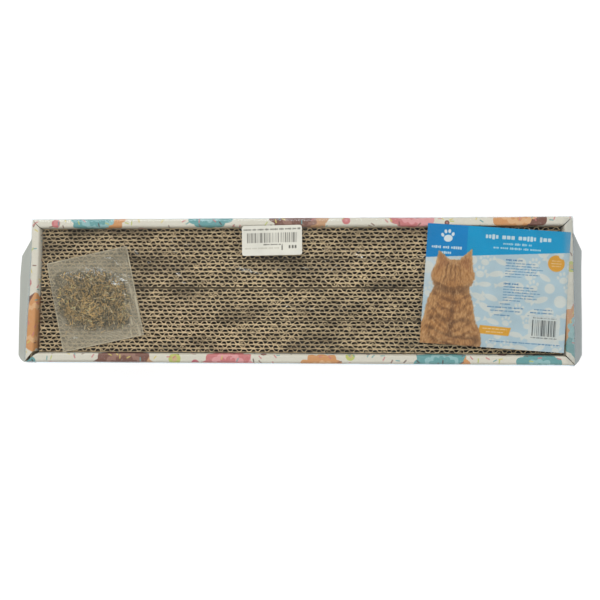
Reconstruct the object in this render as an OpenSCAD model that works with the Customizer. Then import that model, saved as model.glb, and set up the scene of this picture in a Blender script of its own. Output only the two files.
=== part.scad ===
/* [Corrugated strips] */
// Number of flutes along one strip of board
flutes = 56; // [30:1:60]
// Distance between two crests of the fluting
flute_pitch = 7.74; // [7:0.02:8.6]
// Thickness of one strip of board over both of its liners
strip_thickness = 3.3; // [3:0.02:3.6]
// Height of a strip, which is the depth of a pad
strip_height = 33; // [30:0.5:37]
// Thickness of the flat paper on each face of a strip
liner_paper = 0.38; // [0.3:0.02:0.5]
// Thickness of the fluted paper between the liners
flute_paper = 0.46; // [0.4:0.02:0.6]
// Half of the open width of a flute where it meets its flat liner
flute_half_mouth = 2.1; // [1.9:0.05:2.6]
// Half of the width over which each trough of the fluting is glued to its liner
flute_glue = 0.5; // [0.3:0.05:0.9]

/* [Pads] */
// Number of strips glued face to face in each pad, from the back
pad_layers = [8, 7, 8, 8];
// Gap between the back wall and the first pad
back_clearance = 0.3; // [0.2:0.1:1.5]
// Gap between the last pad and the front wall
front_clearance = 1.6; // [0.2:0.02:2]
// Open seam between the second and the third pad
middle_seam = 1.3; // [0.4:0.1:2]
// Tight seam on the far side of the first and of the third pad
tight_seam = 0.25; // [0.1:0.05:0.6]
// Gap between the left wall and the ends of the strips
left_clearance = 0.6; // [0.4:0.1:3]
// Gap between the ends of the strips and the right wall
right_clearance = 1.96; // [1:0.02:8]

/* [Tray] */
// Height of the tray from its underside to its rim
tray_height = 40; // [39:0.5:50]
// Thickness of the folded tray board
tray_board = 1.5; // [1:0.1:1.6]
// Width of the flat rim on top of each hollow wall
rim_width = 7; // [6.4:0.1:9]
// Outside radius of each fold in the board
fold_radius = 1.8; // [1.7:0.1:2.4]
// Slit left open between two walls at each mitred corner
mitre_slit = 1.1; // [0.5:0.1:1.4]
// Length of the glue tab that each long wall sends round the corner
glue_tab_length = 28; // [15:1:40]
// Gap under the free edge of each turned-in wall
flap_gap = 0.3; // [0.1:0.1:1]

/* [Shrink film] */
// Thickness of the clear film
film_thickness = 0.25; // [0.15:0.05:0.35]
// Gap between the film and what it wraps
film_clearance = 0.1; // [0.05:0.05:0.3]
// How far the sealed fins stand out from the left and the right end of the tray
fin_reach = [14, 9.2]; // [7:0.1:20]
// Width of the flat seal along the edge of each fin
fin_seal = 2.4; // [1.5:0.1:4]
// Height of the fins above the underside of the tray
fin_height = 24; // [12:0.5:28]
// Distance from the middle line of the tray to the back end of a fin's root
fin_back = 45; // [35:1:50]
// Distance from the middle line of the tray to the front end of a fin's root
fin_front = 59; // [50:0.5:59]
// How much the back end of a fin tapers towards its edge
fin_back_taper = 21; // [5:1:25]
// How much the front end of a fin tapers towards its edge
fin_front_taper = 7; // [3:0.5:12]

/* [Catnip sachet] */
// Length of the sachet across its side seals
sachet_length = 70.5; // [60:0.5:80]
// Width of the sachet across its top and bottom seals
sachet_width = 77; // [60:0.5:78]
// Thickness of the filled sachet at its middle
sachet_thickness = 4.2; // [3.4:0.1:4.8]
// Thickness of the sachet's own film
sachet_film = 0.3; // [0.2:0.05:0.4]
// Width of the flat seal round the sachet
sachet_seal = 4; // [3:0.5:6]
// Turn of the sachet on the pads in degrees
sachet_turn = 12.3; // [6:0.1:16]
// Gap between the left wall and the sachet's nearest corner
sachet_left_gap = 5.1; // [1:0.1:30]
// Gap between the front wall and the sachet's nearest corner
sachet_front_gap = 0.7; // [0.3:0.1:10]

/* [Label card] */
// Length of the printed card, whose width follows from the tray's opening
card_length = 115; // [90:1:130]
// Thickness of the card
card_thickness = 0.35; // [0.2:0.05:0.5]
// Clockwise turn of the card on the tray in degrees
card_turn = 4.1; // [3:0.1:5]
// How far the card's right corner lies over the right rim
card_over_right = 5.3; // [3:0.1:6]
// How far the card's left corner lies over the back rim
card_over_back = 2.2; // [1.6:0.1:4.5]
// Gap between the card's front corner and the front wall
card_front_gap = 2.2; // [0.5:0.1:8]

/* [Price sticker] */
// Length of the sticker
sticker_length = 50; // [20:1:60]
// Width of the sticker
sticker_width = 25; // [15:1:40]
// Thickness of the sticker
sticker_thickness = 0.15; // [0.1:0.05:0.3]
// Radius of the sticker's corners
sticker_radius = 2; // [1:0.5:4]
// Turn of the sticker in degrees
sticker_turn = 1; // [0:0.5:3]
// Distance from the middle of the tray to the middle of the sticker, to the left
sticker_left = 20; // [0:0.1:60]
// How far the sticker's back edge lies over the back rim
sticker_over_back = 0.8; // [0:0.1:3]

/* [Hidden] */

// One overrun serves every cut that runs past a face
overrun = 1;
// Sides of a full circle on the folds, the flutes and the rounded corners
fold_sides = 48;
// Sides of the large circle that the bowed card follows
card_sides = 1440;
// Gap between the soft pieces and what they lie on
seat_gap = 0.05;

pad_count = len(pad_layers);
seams_behind = [back_clearance, tight_seam, middle_seam, tight_seam];
strip_length = flutes * flute_pitch;

function sum_to(list, end) = end < 0 ? 0 : list[end] + sum_to(list, end - 1);
function strip_name(pad, layer) = str("pad", pad + 1, "_strip", layer + 1);

// The tray is made to fit the pads
pads_width = sum_to(pad_layers, pad_count - 1) * strip_thickness
    + sum_to(seams_behind, pad_count - 1) + front_clearance;
inner_length = strip_length + left_clearance + right_clearance;
tray_length = inner_length + 2 * rim_width;
tray_width = pads_width + 2 * rim_width;
inner_x = inner_length / 2;
inner_y = pads_width / 2;

tray_z = film_thickness;
floor_z = tray_z + tray_board;
pad_top_z = floor_z + strip_height;
rim_z = tray_z + tray_height;

// The bowl of a flute is a circle through the ends of its mouth and its lowest point
tunnel_depth = strip_thickness - 2 * liner_paper - flute_paper;
bowl_radius = (flute_half_mouth ^ 2 + tunnel_depth ^ 2) / (2 * tunnel_depth);
// Each strip is cut from the sheet at another place in its fluting
phase_step_share = 0.618;

// The card lies flat on the rims beyond a line between its crossings of their inner edges
card_sine = sin(card_turn);
card_cosine = cos(card_turn);
card_width = (2 * inner_y + card_over_back - card_front_gap - card_length * card_sine) / card_cosine;
card_reach_x = (card_length * card_cosine + card_width * card_sine) / 2;
card_reach_y = (card_width * card_cosine + card_length * card_sine) / 2;
card_x = inner_x + card_over_right - card_reach_x;
card_y = inner_y + card_over_back - card_reach_y;
function card_point(u, v) =
    [card_x + u * card_cosine + v * card_sine, card_y - u * card_sine + v * card_cosine];
card_bend_start = card_point(
    -card_length / 2,
    (inner_y - card_y - card_length / 2 * card_sine) / card_cosine
);
card_bend_end = card_point(
    card_length / 2,
    (inner_x - card_x - card_length / 2 * card_cosine) / card_sine
);
card_bend_line = card_bend_end - card_bend_start;
card_bend_angle = atan2(card_bend_line[1], card_bend_line[0]);
card_low_corner = card_point(-card_length / 2, -card_width / 2) - card_bend_start;
// Distance of the card's low corner in front of the bend line, and its drop to the pads
card_low_reach = card_low_corner[0] * sin(card_bend_angle) - card_low_corner[1] * cos(card_bend_angle);
card_z = rim_z + seat_gap;
card_drop = card_z - pad_top_z - seat_gap;
card_bow_radius = (card_low_reach ^ 2 + card_drop ^ 2) / (2 * card_drop);

film_top_z = card_z + card_thickness + film_clearance;
film_x = tray_length / 2 + film_clearance;
film_y = tray_width / 2 + film_clearance;
fin_z = tray_z + fin_height;
sticker_z = film_top_z + film_thickness;

// Cells of the grid over the filled part of the sachet, each way
sachet_cells = 14;
// Distance from the seal to the edge of the sachet's hollow
hollow_margin = 3;
// How full the sachet looks: a low power gives steep sides and a flat top
pillow_power_share = 0.6;
// Share of the sachet's hollow that the catnip has slid down to
catnip_fill_share = 0.7;
// Share of the catnip's height that its lumps vary by
lump_share = 0.35;
catnip_cells = 16;
catnip_seed = 7;

// Folded tray

module fold() {
    intersection() {
        difference() {
            circle(fold_radius, $fn = fold_sides);
            circle(fold_radius - tray_board, $fn = fold_sides);
        }
        square(fold_radius);
    }
}

// Section of one hollow wall, with its outer face on the left and the floor's edge at the lower right
module wall_section() {
    panel_height = tray_height - 2 * fold_radius;
    translate([fold_radius, fold_radius]) rotate(180) fold();
    translate([0, fold_radius]) square([tray_board, panel_height]);
    translate([fold_radius, tray_height - fold_radius]) rotate(90) fold();
    translate([fold_radius, tray_height - tray_board]) square([rim_width - 2 * fold_radius, tray_board]);
    translate([rim_width - fold_radius, tray_height - fold_radius]) fold();
    flap_foot = tray_board + flap_gap;
    translate([rim_width - tray_board, flap_foot])
        square([tray_board, tray_height - fold_radius - flap_foot]);
}

// A wall along X whose outer face is at -depth / 2, mitred at both ends
module wall(length, depth) {
    end = length / 2 - mitre_slit * sqrt(1 / 2);
    intersection() {
        translate([-length / 2, -depth / 2, 0])
            rotate([90, 0, 90]) linear_extrude(length) wall_section();
        translate([0, -depth / 2, -overrun])
            linear_extrude(tray_height + 2 * overrun)
                polygon([[-end, 0], [end, 0], [end - rim_width, rim_width], [rim_width - end, rim_width]]);
    }
}

module glue_tab() {
    translate([tray_length / 2 - 2 * tray_board, -tray_width / 2 + tray_board, tray_board])
        cube([tray_board, glue_tab_length, tray_height - 2 * tray_board - flap_gap]);
}

module tray() {
    color([0.8, 0.79, 0.74])
        translate([0, 0, tray_z]) {
            translate([fold_radius - tray_length / 2, fold_radius - tray_width / 2, 0])
                cube([tray_length - 2 * fold_radius, tray_width - 2 * fold_radius, tray_board]);
            for (turn = [0, 180]) rotate(turn) wall(tray_length, tray_width);
            for (turn = [90, 270]) rotate(turn) wall(tray_width, tray_length);
            for (side = [0, 1], end = [0, 1]) mirror([end, 0, 0]) mirror([0, side, 0]) glue_tab();
        }
}

// Corrugated strips

module bowl(radius) {
    translate([0, tunnel_depth - bowl_radius]) circle(radius, $fn = fold_sides);
}

// The wide tunnel over a trough of the fluted paper, closed by the flat liner
module wide_tunnel() {
    intersection() {
        bowl(bowl_radius);
        translate([-flute_pitch / 2, 0]) square([flute_pitch, tunnel_depth + flute_paper]);
    }
}

// The narrow tunnel between two glued troughs, closed by the other liner
module narrow_tunnel() {
    open_pitch = flute_pitch - 2 * flute_glue;
    difference() {
        translate([-open_pitch / 2, flute_paper]) square([open_pitch, tunnel_depth]);
        for (side = [-1, 1]) translate([side * flute_pitch / 2, 0]) bowl(bowl_radius + flute_paper);
    }
}

module strip_section(phase) {
    difference() {
        square([strip_length, strip_thickness]);
        translate([(phase - 1) * flute_pitch, liner_paper])
            for (i = [0 : flutes + 1]) {
                translate([i * flute_pitch, 0]) wide_tunnel();
                translate([(i + 1 / 2) * flute_pitch, 0]) narrow_tunnel();
            }
    }
}

// Pads 1 and 3 have the mouths of their flutes to the back, and pads 2 and 4 to the front
module strip(pad, layer) {
    layers_behind = sum_to(pad_layers, pad - 1) + layer;
    back_y = inner_y - sum_to(seams_behind, pad) - layers_behind * strip_thickness;
    steps = layers_behind * phase_step_share;
    phase = steps - floor(steps);
    color([0.62, 0.53, 0.4])
        translate([left_clearance - inner_x, back_y, floor_z])
            linear_extrude(strip_height)
                if (pad % 2 == 0) mirror([0, 1]) strip_section(phase);
                else translate([0, -strip_thickness]) strip_section(phase);
}

// Label card, bowed from the rims down to the pads

module bow_section() {
    reach = card_length + card_width;
    translate([0, card_z]) square([reach, card_thickness]);
    translate([0, card_z - card_bow_radius])
        intersection() {
            difference() {
                circle(card_bow_radius + card_thickness, $fn = card_sides);
                circle(card_bow_radius, $fn = card_sides);
            }
            translate([-reach, 0]) square([reach, card_bow_radius + card_thickness]);
        }
}

module label_card() {
    reach = card_length + card_width;
    color([0.55, 0.72, 0.82])
        intersection() {
            translate(concat(card_bend_start, 0))
                rotate(card_bend_angle)
                    translate([-reach, 0, 0]) rotate([90, 0, 90]) linear_extrude(2 * reach) bow_section();
            translate([card_x, card_y, 0])
                rotate(-card_turn)
                    translate([-card_length / 2, -card_width / 2, 0])
                        cube([card_length, card_width, card_z + card_thickness + overrun]);
        }
}

// Catnip sachet

// Share of the sachet's rise at a distance from its middle, for one of its two ways
function rise_share(distance, half) =
    abs(distance) >= half ? 0 : cos(90 * distance / half) ^ pillow_power_share;
half_fill_x = sachet_length / 2 - sachet_seal;
half_fill_y = sachet_width / 2 - sachet_seal;
function sachet_top(x, y) =
    2 * sachet_film
    + (sachet_thickness - 2 * sachet_film) * rise_share(x, half_fill_x) * rise_share(y, half_fill_y);
function stations(from, to, cells) = [for (i = [0 : cells]) from + (to - from) * i / cells];
function with_seals(half, seal, cells) =
    concat([-half], stations(seal - half, half - seal, cells), [half]);

// A closed body with a flat underside at the height base and a top given at each grid point
module blanket(xs, ys, base, tops) {
    columns = len(xs);
    rows = len(ys);
    top_points = [for (j = [0 : rows - 1], i = [0 : columns - 1]) [xs[i], ys[j], tops[j][i]]];
    rim_ids = concat(
        [for (i = [0 : columns - 2]) i],
        [for (j = [0 : rows - 2]) j * columns + columns - 1],
        [for (i = [columns - 1 : -1 : 1]) (rows - 1) * columns + i],
        [for (j = [rows - 1 : -1 : 1]) j * columns]
    );
    base_points = [for (id = rim_ids) [top_points[id][0], top_points[id][1], base]];
    base_middle = [(xs[0] + xs[columns - 1]) / 2, (ys[0] + ys[rows - 1]) / 2, base];
    first = columns * rows;
    sides = len(rim_ids);
    top_faces = [
        for (j = [0 : rows - 2], i = [0 : columns - 2])
            let (a = j * columns + i, b = a + 1, c = b + columns, d = a + columns)
                each [[a, c, b], [a, d, c]]
    ];
    side_faces = [
        for (k = [0 : sides - 1])
            let (next = (k + 1) % sides)
                each [[rim_ids[k], rim_ids[next], first + next], [rim_ids[k], first + next, first + k]]
    ];
    base_faces = [for (k = [0 : sides - 1]) [first + k, first + (k + 1) % sides, first + sides]];
    polyhedron(
        points = concat(top_points, base_points, [base_middle]),
        faces = concat(top_faces, side_faces, base_faces)
    );
}

module on_pads() {
    reach_x = (sachet_length * cos(sachet_turn) + sachet_width * sin(sachet_turn)) / 2;
    reach_y = (sachet_width * cos(sachet_turn) + sachet_length * sin(sachet_turn)) / 2;
    translate([
        reach_x + sachet_left_gap - inner_x,
        reach_y + sachet_front_gap - inner_y,
        pad_top_z + seat_gap
    ])
        rotate(sachet_turn) children();
}

hollow_x = half_fill_x - hollow_margin;
hollow_y = half_fill_y - hollow_margin;

module sachet_bag() {
    outer_xs = with_seals(sachet_length / 2, sachet_seal, sachet_cells);
    outer_ys = with_seals(sachet_width / 2, sachet_seal, sachet_cells);
    hollow_xs = stations(-hollow_x, hollow_x, sachet_cells);
    hollow_ys = stations(-hollow_y, hollow_y, sachet_cells);
    color([0.78, 0.77, 0.7, 0.45])
        on_pads()
            difference() {
                blanket(outer_xs, outer_ys, 0, [for (y = outer_ys) [for (x = outer_xs) sachet_top(x, y)]]);
                blanket(
                    hollow_xs, hollow_ys, sachet_film,
                    [for (y = hollow_ys) [for (x = hollow_xs) sachet_top(x, y) - sachet_film]]
                );
            }
}

module catnip() {
    side_x = hollow_x - seat_gap;
    side_y = hollow_y - seat_gap;
    xs = stations(-side_x, side_x, catnip_cells);
    ys = stations(-side_y, (2 * catnip_fill_share - 1) * side_y, catnip_cells);
    lumps = rands(1 - lump_share, 1, (catnip_cells + 1) ^ 2, catnip_seed);
    base = sachet_film + seat_gap;
    function heap_top(i, j) =
        base + (sachet_top(xs[i], ys[j]) - sachet_film - seat_gap - base) * lumps[j * len(xs) + i];
    color([0.47, 0.43, 0.33])
        on_pads()
            blanket(xs, ys, base, [for (j = [0 : catnip_cells]) [for (i = [0 : catnip_cells]) heap_top(i, j)]]);
}

// Shrink film

// The space inside the film, or with grow as its thickness the film's outside
module film_space(grow) {
    depth = 2 * (film_y + grow);
    base = tray_z - grow;
    height = film_top_z + grow - base;
    radius = fold_radius + film_clearance + grow;
    root_x = film_x + grow;
    tent_x = [for (reach = fin_reach) tray_length / 2 + reach - fin_seal + grow];
    length = 2 * (film_x + max(fin_reach));
    intersection() {
        rotate([90, 0, 90])
            linear_extrude(length, center = true)
                translate([-depth / 2, base]) rounded_plate(depth, height, radius);
        rotate([90, 0, 0])
            linear_extrude(depth + overrun, center = true)
                polygon([
                    [-root_x, base], [root_x, base], [tent_x[1], fin_z],
                    [root_x, base + height], [-root_x, base + height], [-tent_x[0], fin_z]
                ]);
        linear_extrude(film_top_z + film_thickness + overrun) film_outline(grow);
    }
}

// The film seen from above: the wrapped tray with a tapered ear at each end
module film_outline(grow) {
    root_x = film_x + grow;
    square([2 * root_x, 2 * (film_y + grow)], center = true);
    for (end = [0, 1]) {
        tip_x = tray_length / 2 + fin_reach[end] + grow - film_thickness;
        mirror([1 - end, 0])
            polygon([
                [0, -fin_front - grow], [root_x, -fin_front - grow],
                [tip_x, fin_front_taper - fin_front - grow], [tip_x, fin_back - fin_back_taper + grow],
                [root_x, fin_back + grow], [0, fin_back + grow]
            ]);
    }
}

module rounded_plate(length, width, radius) {
    translate([radius, 0]) square([length - 2 * radius, width]);
    translate([0, radius]) square([length, width - 2 * radius]);
    for (x = [radius, length - radius], y = [radius, width - radius])
        translate([x, y]) circle(radius, $fn = fold_sides);
}

module shrink_film() {
    color([0.75, 0.8, 0.79, 0.25])
        difference() {
            union() {
                film_space(film_thickness);
                translate([0, 0, fin_z - film_thickness])
                    linear_extrude(2 * film_thickness) film_outline(film_thickness);
            }
            film_space(0);
        }
}

// Price sticker, on top of the film

module price_sticker() {
    centre_y = inner_y + sticker_over_back - sticker_width / 2;
    color([0.89, 0.88, 0.83])
        translate([-sticker_left, centre_y, sticker_z])
            rotate(sticker_turn)
                linear_extrude(sticker_thickness)
                    translate([-sticker_length / 2, -sticker_width / 2])
                        rounded_plate(sticker_length, sticker_width, sticker_radius);
}

tray();
for (pad = [0 : pad_count - 1], layer = [0 : pad_layers[pad] - 1])
    strip(pad, layer);
label_card();
sachet_bag();
catnip();
shrink_film();
price_sticker();
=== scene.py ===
import math

import bpy
import numpy as np
from mathutils import Euler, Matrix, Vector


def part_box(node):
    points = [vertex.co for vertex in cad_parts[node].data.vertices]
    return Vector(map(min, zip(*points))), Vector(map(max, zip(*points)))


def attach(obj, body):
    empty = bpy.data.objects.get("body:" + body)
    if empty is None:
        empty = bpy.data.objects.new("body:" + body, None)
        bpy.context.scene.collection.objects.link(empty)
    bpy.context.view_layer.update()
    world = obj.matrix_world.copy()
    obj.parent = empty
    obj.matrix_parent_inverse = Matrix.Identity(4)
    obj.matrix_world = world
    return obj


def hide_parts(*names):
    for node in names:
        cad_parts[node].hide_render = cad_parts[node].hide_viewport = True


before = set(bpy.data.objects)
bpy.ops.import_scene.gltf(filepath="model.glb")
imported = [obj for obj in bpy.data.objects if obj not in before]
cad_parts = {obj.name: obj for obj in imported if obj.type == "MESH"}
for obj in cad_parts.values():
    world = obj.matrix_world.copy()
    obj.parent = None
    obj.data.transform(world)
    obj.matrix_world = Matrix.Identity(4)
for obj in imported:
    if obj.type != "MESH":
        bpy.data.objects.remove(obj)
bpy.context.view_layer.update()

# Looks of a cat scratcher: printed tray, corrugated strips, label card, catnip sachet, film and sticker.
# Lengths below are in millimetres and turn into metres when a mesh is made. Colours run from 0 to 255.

MM = 0.001


def cad_box(node_name):
    """Lowest and highest corner of a CAD node, in millimetres."""
    return np.array(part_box(node_name)) / MM


# Repeatable noise and small sums

def lattice(ix, iy, seed):
    n = (ix * 374761393 + iy * 668265263 + seed * 1274126177) & 0xFFFFFFFF
    n = ((n ^ (n >> 13)) * 1274126177) & 0xFFFFFFFF
    return ((n ^ (n >> 16)) & 0xFFFF) / 65535.0


def noise(x, y, seed):
    """Smooth noise from -1 to 1 whose lumps are one unit wide."""
    x, y = np.broadcast_arrays(np.asarray(x, float), np.asarray(y, float))
    ix, iy = np.floor(x).astype(np.int64), np.floor(y).astype(np.int64)
    fx, fy = x - ix, y - iy
    fx, fy = fx * fx * (3 - 2 * fx), fy * fy * (3 - 2 * fy)
    low, high = [lattice(ix, iy + k, seed) * (1 - fx) + lattice(ix + 1, iy + k, seed) * fx for k in (0, 1)]
    return 2 * (low * (1 - fy) + high * fy) - 1


def rough(x, y, seed):
    """Noise with finer noise on it."""
    return noise(x, y, seed) * 0.65 + noise(x * 2.3, y * 2.3, seed + 1) * 0.35


def ramp(low, high, value):
    """A smooth rise from 0 at low to 1 at high."""
    t = np.clip((np.asarray(value, float) - low) / (high - low), 0, 1)
    return t * t * (3 - 2 * t)


def turned(x, y, angle):
    """A point turned about the origin by an angle in radians."""
    c, s = np.cos(angle), np.sin(angle)
    return x * c - y * s, x * s + y * c


def to_linear(colour):
    """Colours as the linear numbers that a shader takes."""
    c = np.clip(colour, 0, 255) / 255
    return np.where(c <= 0.04045, c / 12.92, ((c + 0.055) / 1.055) ** 2.4)


def grid(columns, rows):
    """Coordinates of a flat grid, each way given as its first and last place and the number of lines."""
    return np.meshgrid(np.linspace(*columns), np.linspace(*rows), indexing="ij")


def spots(x, y, z):
    """Points from their coordinates, each an array or a number."""
    return np.stack(np.broadcast_arrays(x, y, z), -1)


# Meshes gathered from closed shells

def link(name, data, place=(0, 0, 0)):
    thing = bpy.data.objects.new(name, data)
    thing.location = place
    bpy.context.scene.collection.objects.link(thing)
    return thing


class Shape:
    """Vertices and faces of one piece, with a colour or other values for each vertex."""

    def __init__(self):
        self.points, self.faces, self.kinds, self.values = [], [], [], []
        self.count = 0

    def add(self, points, faces, kinds=0, values=None):
        """A closed shell. Kinds are material slots, and the values are the points themselves if not given."""
        points = np.asarray(points, float).reshape(-1, 3)
        values = points if values is None else np.asarray(values, float).reshape(-1, 3)
        self.points.append(points)
        self.faces.extend([tuple(self.count + i for i in f) for f in faces])
        self.kinds.extend([kinds] * len(faces) if np.isscalar(kinds) else list(kinds))
        self.values.append(np.broadcast_to(values, points.shape))
        self.count += len(points)

    def add_sheet(self, top, under, kinds=(0, 0, 0), values=None, step=1):
        """A closed sheet between two grids. Kinds are those of its top, its underside and its walls."""
        groups = sheet_faces(*top.shape[:2], step)
        points = np.concatenate([top.reshape(-1, 3), under[::step, ::step].reshape(-1, 3)])
        self.add(points, sum(groups, []), np.repeat(kinds, [len(group) for group in groups]), values)

    def make(self, name, node_name, slot, materials, attribute=None, angle=40, smooth=True):
        """The piece, in place of its CAD node."""
        mesh = bpy.data.meshes.new(name)
        mesh.from_pydata((np.concatenate(self.points) * MM).tolist(), [], self.faces)
        mesh.polygons.foreach_set("material_index", np.array(self.kinds, np.int32))
        if smooth:
            mesh.polygons.foreach_set("use_smooth", np.ones(len(mesh.polygons), bool))
            mesh.set_sharp_from_angle(angle=math.radians(angle))
        values = np.concatenate(self.values)
        if attribute == "ink":
            layer = mesh.color_attributes.new(attribute, "FLOAT_COLOR", "POINT")
            values = np.hstack([values, np.ones((len(values), 1))])
            layer.data.foreach_set("color", values.astype(np.float32).ravel())
        elif attribute:
            layer = mesh.attributes.new(attribute, "FLOAT_VECTOR", "POINT")
            layer.data.foreach_set("vector", values.astype(np.float32).ravel())
        mesh.validate()
        mesh.update()
        for material in materials:
            mesh.materials.append(material)
        piece = link(name, mesh)
        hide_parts(node_name)
        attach(piece, "root")


def sweep_faces(stations, around, caps=True):
    """Quads of a tube of closed loops, with its two end caps."""
    i, j = np.meshgrid(np.arange(stations - 1), np.arange(around), indexing="ij")
    a, b = i * around + j, i * around + (j + 1) % around
    quads = np.stack([a, b, b + around, a + around], -1).reshape(-1, 4).tolist()
    if not caps:
        return quads
    last = (stations - 1) * around
    return quads + [list(range(around))[::-1], [last + k for k in range(around)]]


def flat_caps(stations, around, across):
    """End caps of a tube that closes flat: a strip between its two sides, and a cap at each corner."""
    low = around // 2
    corner = low - across
    strip = [[k, k + 1, low + across - 2 - k, low + across - 1 - k] for k in range(across - 1)]
    strip.append([across - 1 + k for k in range(corner + 2)])
    strip.append([(low + across - 1 + k) % around for k in range(corner + 2)])
    last = (stations - 1) * around
    return [face[::-1] for face in strip] + [[last + k for k in face] for face in strip]


def sheet_faces(columns, rows, step):
    """Top, underside and walls of a closed sheet whose underside has every step-th line of its top."""
    def quads(wide, deep, base):
        i, j = np.meshgrid(np.arange(wide - 1), np.arange(deep - 1), indexing="ij")
        a = base + i * deep + j
        return np.stack([a, a + deep, a + deep + 1, a + 1], -1).reshape(-1, 4)

    base = columns * rows
    wide, deep = (columns - 1) // step + 1, (rows - 1) // step + 1
    ring = [(k, 0) for k in range(columns)] + [(columns - 1, k) for k in range(1, rows)]
    ring += [(k, rows - 1) for k in range(columns - 2, -1, -1)] + [(0, k) for k in range(rows - 2, 0, -1)]
    walls = []
    for k in range(0, len(ring), step):
        part = [ring[(k + m) % len(ring)] for m in range(step + 1)]
        low = [base + (p[0] // step) * deep + p[1] // step for p in (part[0], part[-1])]
        walls.append([p[0] * rows + p[1] for p in part][::-1] + low)
    return quads(columns, rows, 0).tolist(), quads(wide, deep, base)[:, ::-1].tolist(), walls


# Node materials

class Value:
    """The output of a shader node. Each sum done with it adds a Math node."""

    def __init__(self, socket):
        self.socket, self.tree = socket, socket.id_data

    def maths(self, operation, other=0.0):
        return node(self.tree, "Math", {0: self, 1: other}, operation=operation)

    def __add__(self, other):
        return self.maths("ADD", other)

    def __sub__(self, other):
        return self.maths("SUBTRACT", other)

    def __mul__(self, other):
        return self.maths("MULTIPLY", other)

    def __truediv__(self, other):
        return self.maths("DIVIDE", other)

    def __lt__(self, other):
        return self.maths("LESS_THAN", other)

    def __gt__(self, other):
        return self.maths("GREATER_THAN", other)


def node(tree, kind, inputs=None, out=0, **settings):
    """One output of a new shader node, or a list of several where out is a tuple."""
    made = tree.nodes.new("ShaderNode" + kind)
    for key, value in settings.items():
        setattr(made, key, value)
    for key, value in (inputs or {}).items():
        if isinstance(value, Value):
            tree.links.new(value.socket, made.inputs[key])
        else:
            made.inputs[key].default_value = value
    if isinstance(out, tuple):
        return [Value(made.outputs[key]) for key in out]
    return Value(made.outputs[out])


def rgba(colour):
    """A colour for a socket. The output of a node stays as it is."""
    return colour if isinstance(colour, Value) else (*to_linear(colour).tolist(), 1.0)


def blend(share, a, b):
    """A colour between a and b."""
    return node(share.tree, "Mix", {0: share, 6: rgba(a), 7: rgba(b)}, 2, data_type="RGBA")


def mix(share, a, b):
    """A number between a and b."""
    return node(share.tree, "Mix", {0: share, 2: a, 3: b}, data_type="FLOAT")


def spread(value, low, high, to_low=0.0, to_high=1.0):
    return node(value.tree, "MapRange", {0: value, 1: low, 2: high, 3: to_low, 4: to_high})


def vectors(operation, a, b):
    return node(a.tree, "VectorMath", {0: a, 1: b}, operation=operation)


def stretched(place, *factors):
    return vectors("MULTIPLY", place, factors)


def axis(vector, k):
    return node(vector.tree, "SeparateXYZ", {0: vector}, k)


def texture(place, scale, detail=3.0, roughness=0.55):
    return node(place.tree, "TexNoise", {"Vector": place, "Scale": scale, "Detail": detail,
                                         "Roughness": roughness}, "Fac")


def attribute(tree, name, out="Vector"):
    return node(tree, "Attribute", out=out, attribute_name=name)


def object_place(tree):
    """Where a point lies on the object, in millimetres."""
    return stretched(node(tree, "TexCoord", out="Object"), 1000, 1000, 1000)


def bump(height, strength, distance_mm):
    return node(height.tree, "Bump", {"Height": height, "Strength": strength, "Distance": distance_mm * MM})


def paper_like(colour, roughness, normal, specular):
    return node(colour.tree, "BsdfPrincipled", {"Base Color": colour, "Roughness": roughness,
                                                "Normal": normal, "Specular IOR Level": specular})


def material(name, paint, *details):
    """A material whose surface is the shader that paint makes."""
    made = bpy.data.materials.new(name)
    made.use_nodes = True
    made.node_tree.nodes.clear()
    node(made.node_tree, "OutputMaterial", {0: paint(made.node_tree, *details)}, ())
    return made


# Camera, floor and light

LENS = 58.03
CAMERA_PLACE = (0.06773, -0.07289, 0.83160)
CAMERA_TURNS = (4.6909, 4.5962, 0.4301)
FLOOR_HALF = 3.0
FLOOR_DROP = 0.0002
WHITE = (1, 1, 1, 1)
# name, size and power of each lamp, and its place in metres
LAMPS = (("key_light", 1.5, 25.5, (-0.7, 1.55, 1.5)), ("fill_light", 1.2, 8.0, (1.3, -1.2, 1.4)),
         ("glint_light", 0.2, 2.0, (-0.12, 0.62, 1.7)))


def add_camera():
    data = bpy.data.cameras.new("camera")
    data.lens, data.sensor_width = LENS, 36.0
    camera = link("camera", data, CAMERA_PLACE)
    camera.rotation_euler = Euler([math.radians(a) for a in CAMERA_TURNS])
    bpy.context.scene.camera = camera


def floor_shader(tree):
    """A floor that takes the object's shadow, and looks paler in itself than the light that it gives."""
    camera, glossy, through = node(tree, "LightPath", out=("Is Camera Ray", "Is Glossy Ray",
                                                           "Is Transmission Ray"))
    direct = camera.maths("MAXIMUM", glossy).maths("MAXIMUM", through)
    plain, soft = [node(tree, "BsdfDiffuse", {"Color": (grey, grey, grey, 1)}) for grey in (0.45, 0.2)]
    glow = node(tree, "Emission", {"Color": WHITE, "Strength": 0.9})
    shown = node(tree, "AddShader", {0: soft, 1: glow})
    return node(tree, "MixShader", {0: direct, 1: plain, 2: shown})


def add_floor():
    h = FLOOR_HALF
    mesh = bpy.data.meshes.new("floor")
    mesh.from_pydata([(-h, -h, 0), (h, -h, 0), (h, h, 0), (-h, h, 0)], [], [(0, 1, 2, 3)])
    mesh.materials.append(material("pale_floor", floor_shader))
    link("floor", mesh, (0, 0, -FLOOR_DROP))


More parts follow.
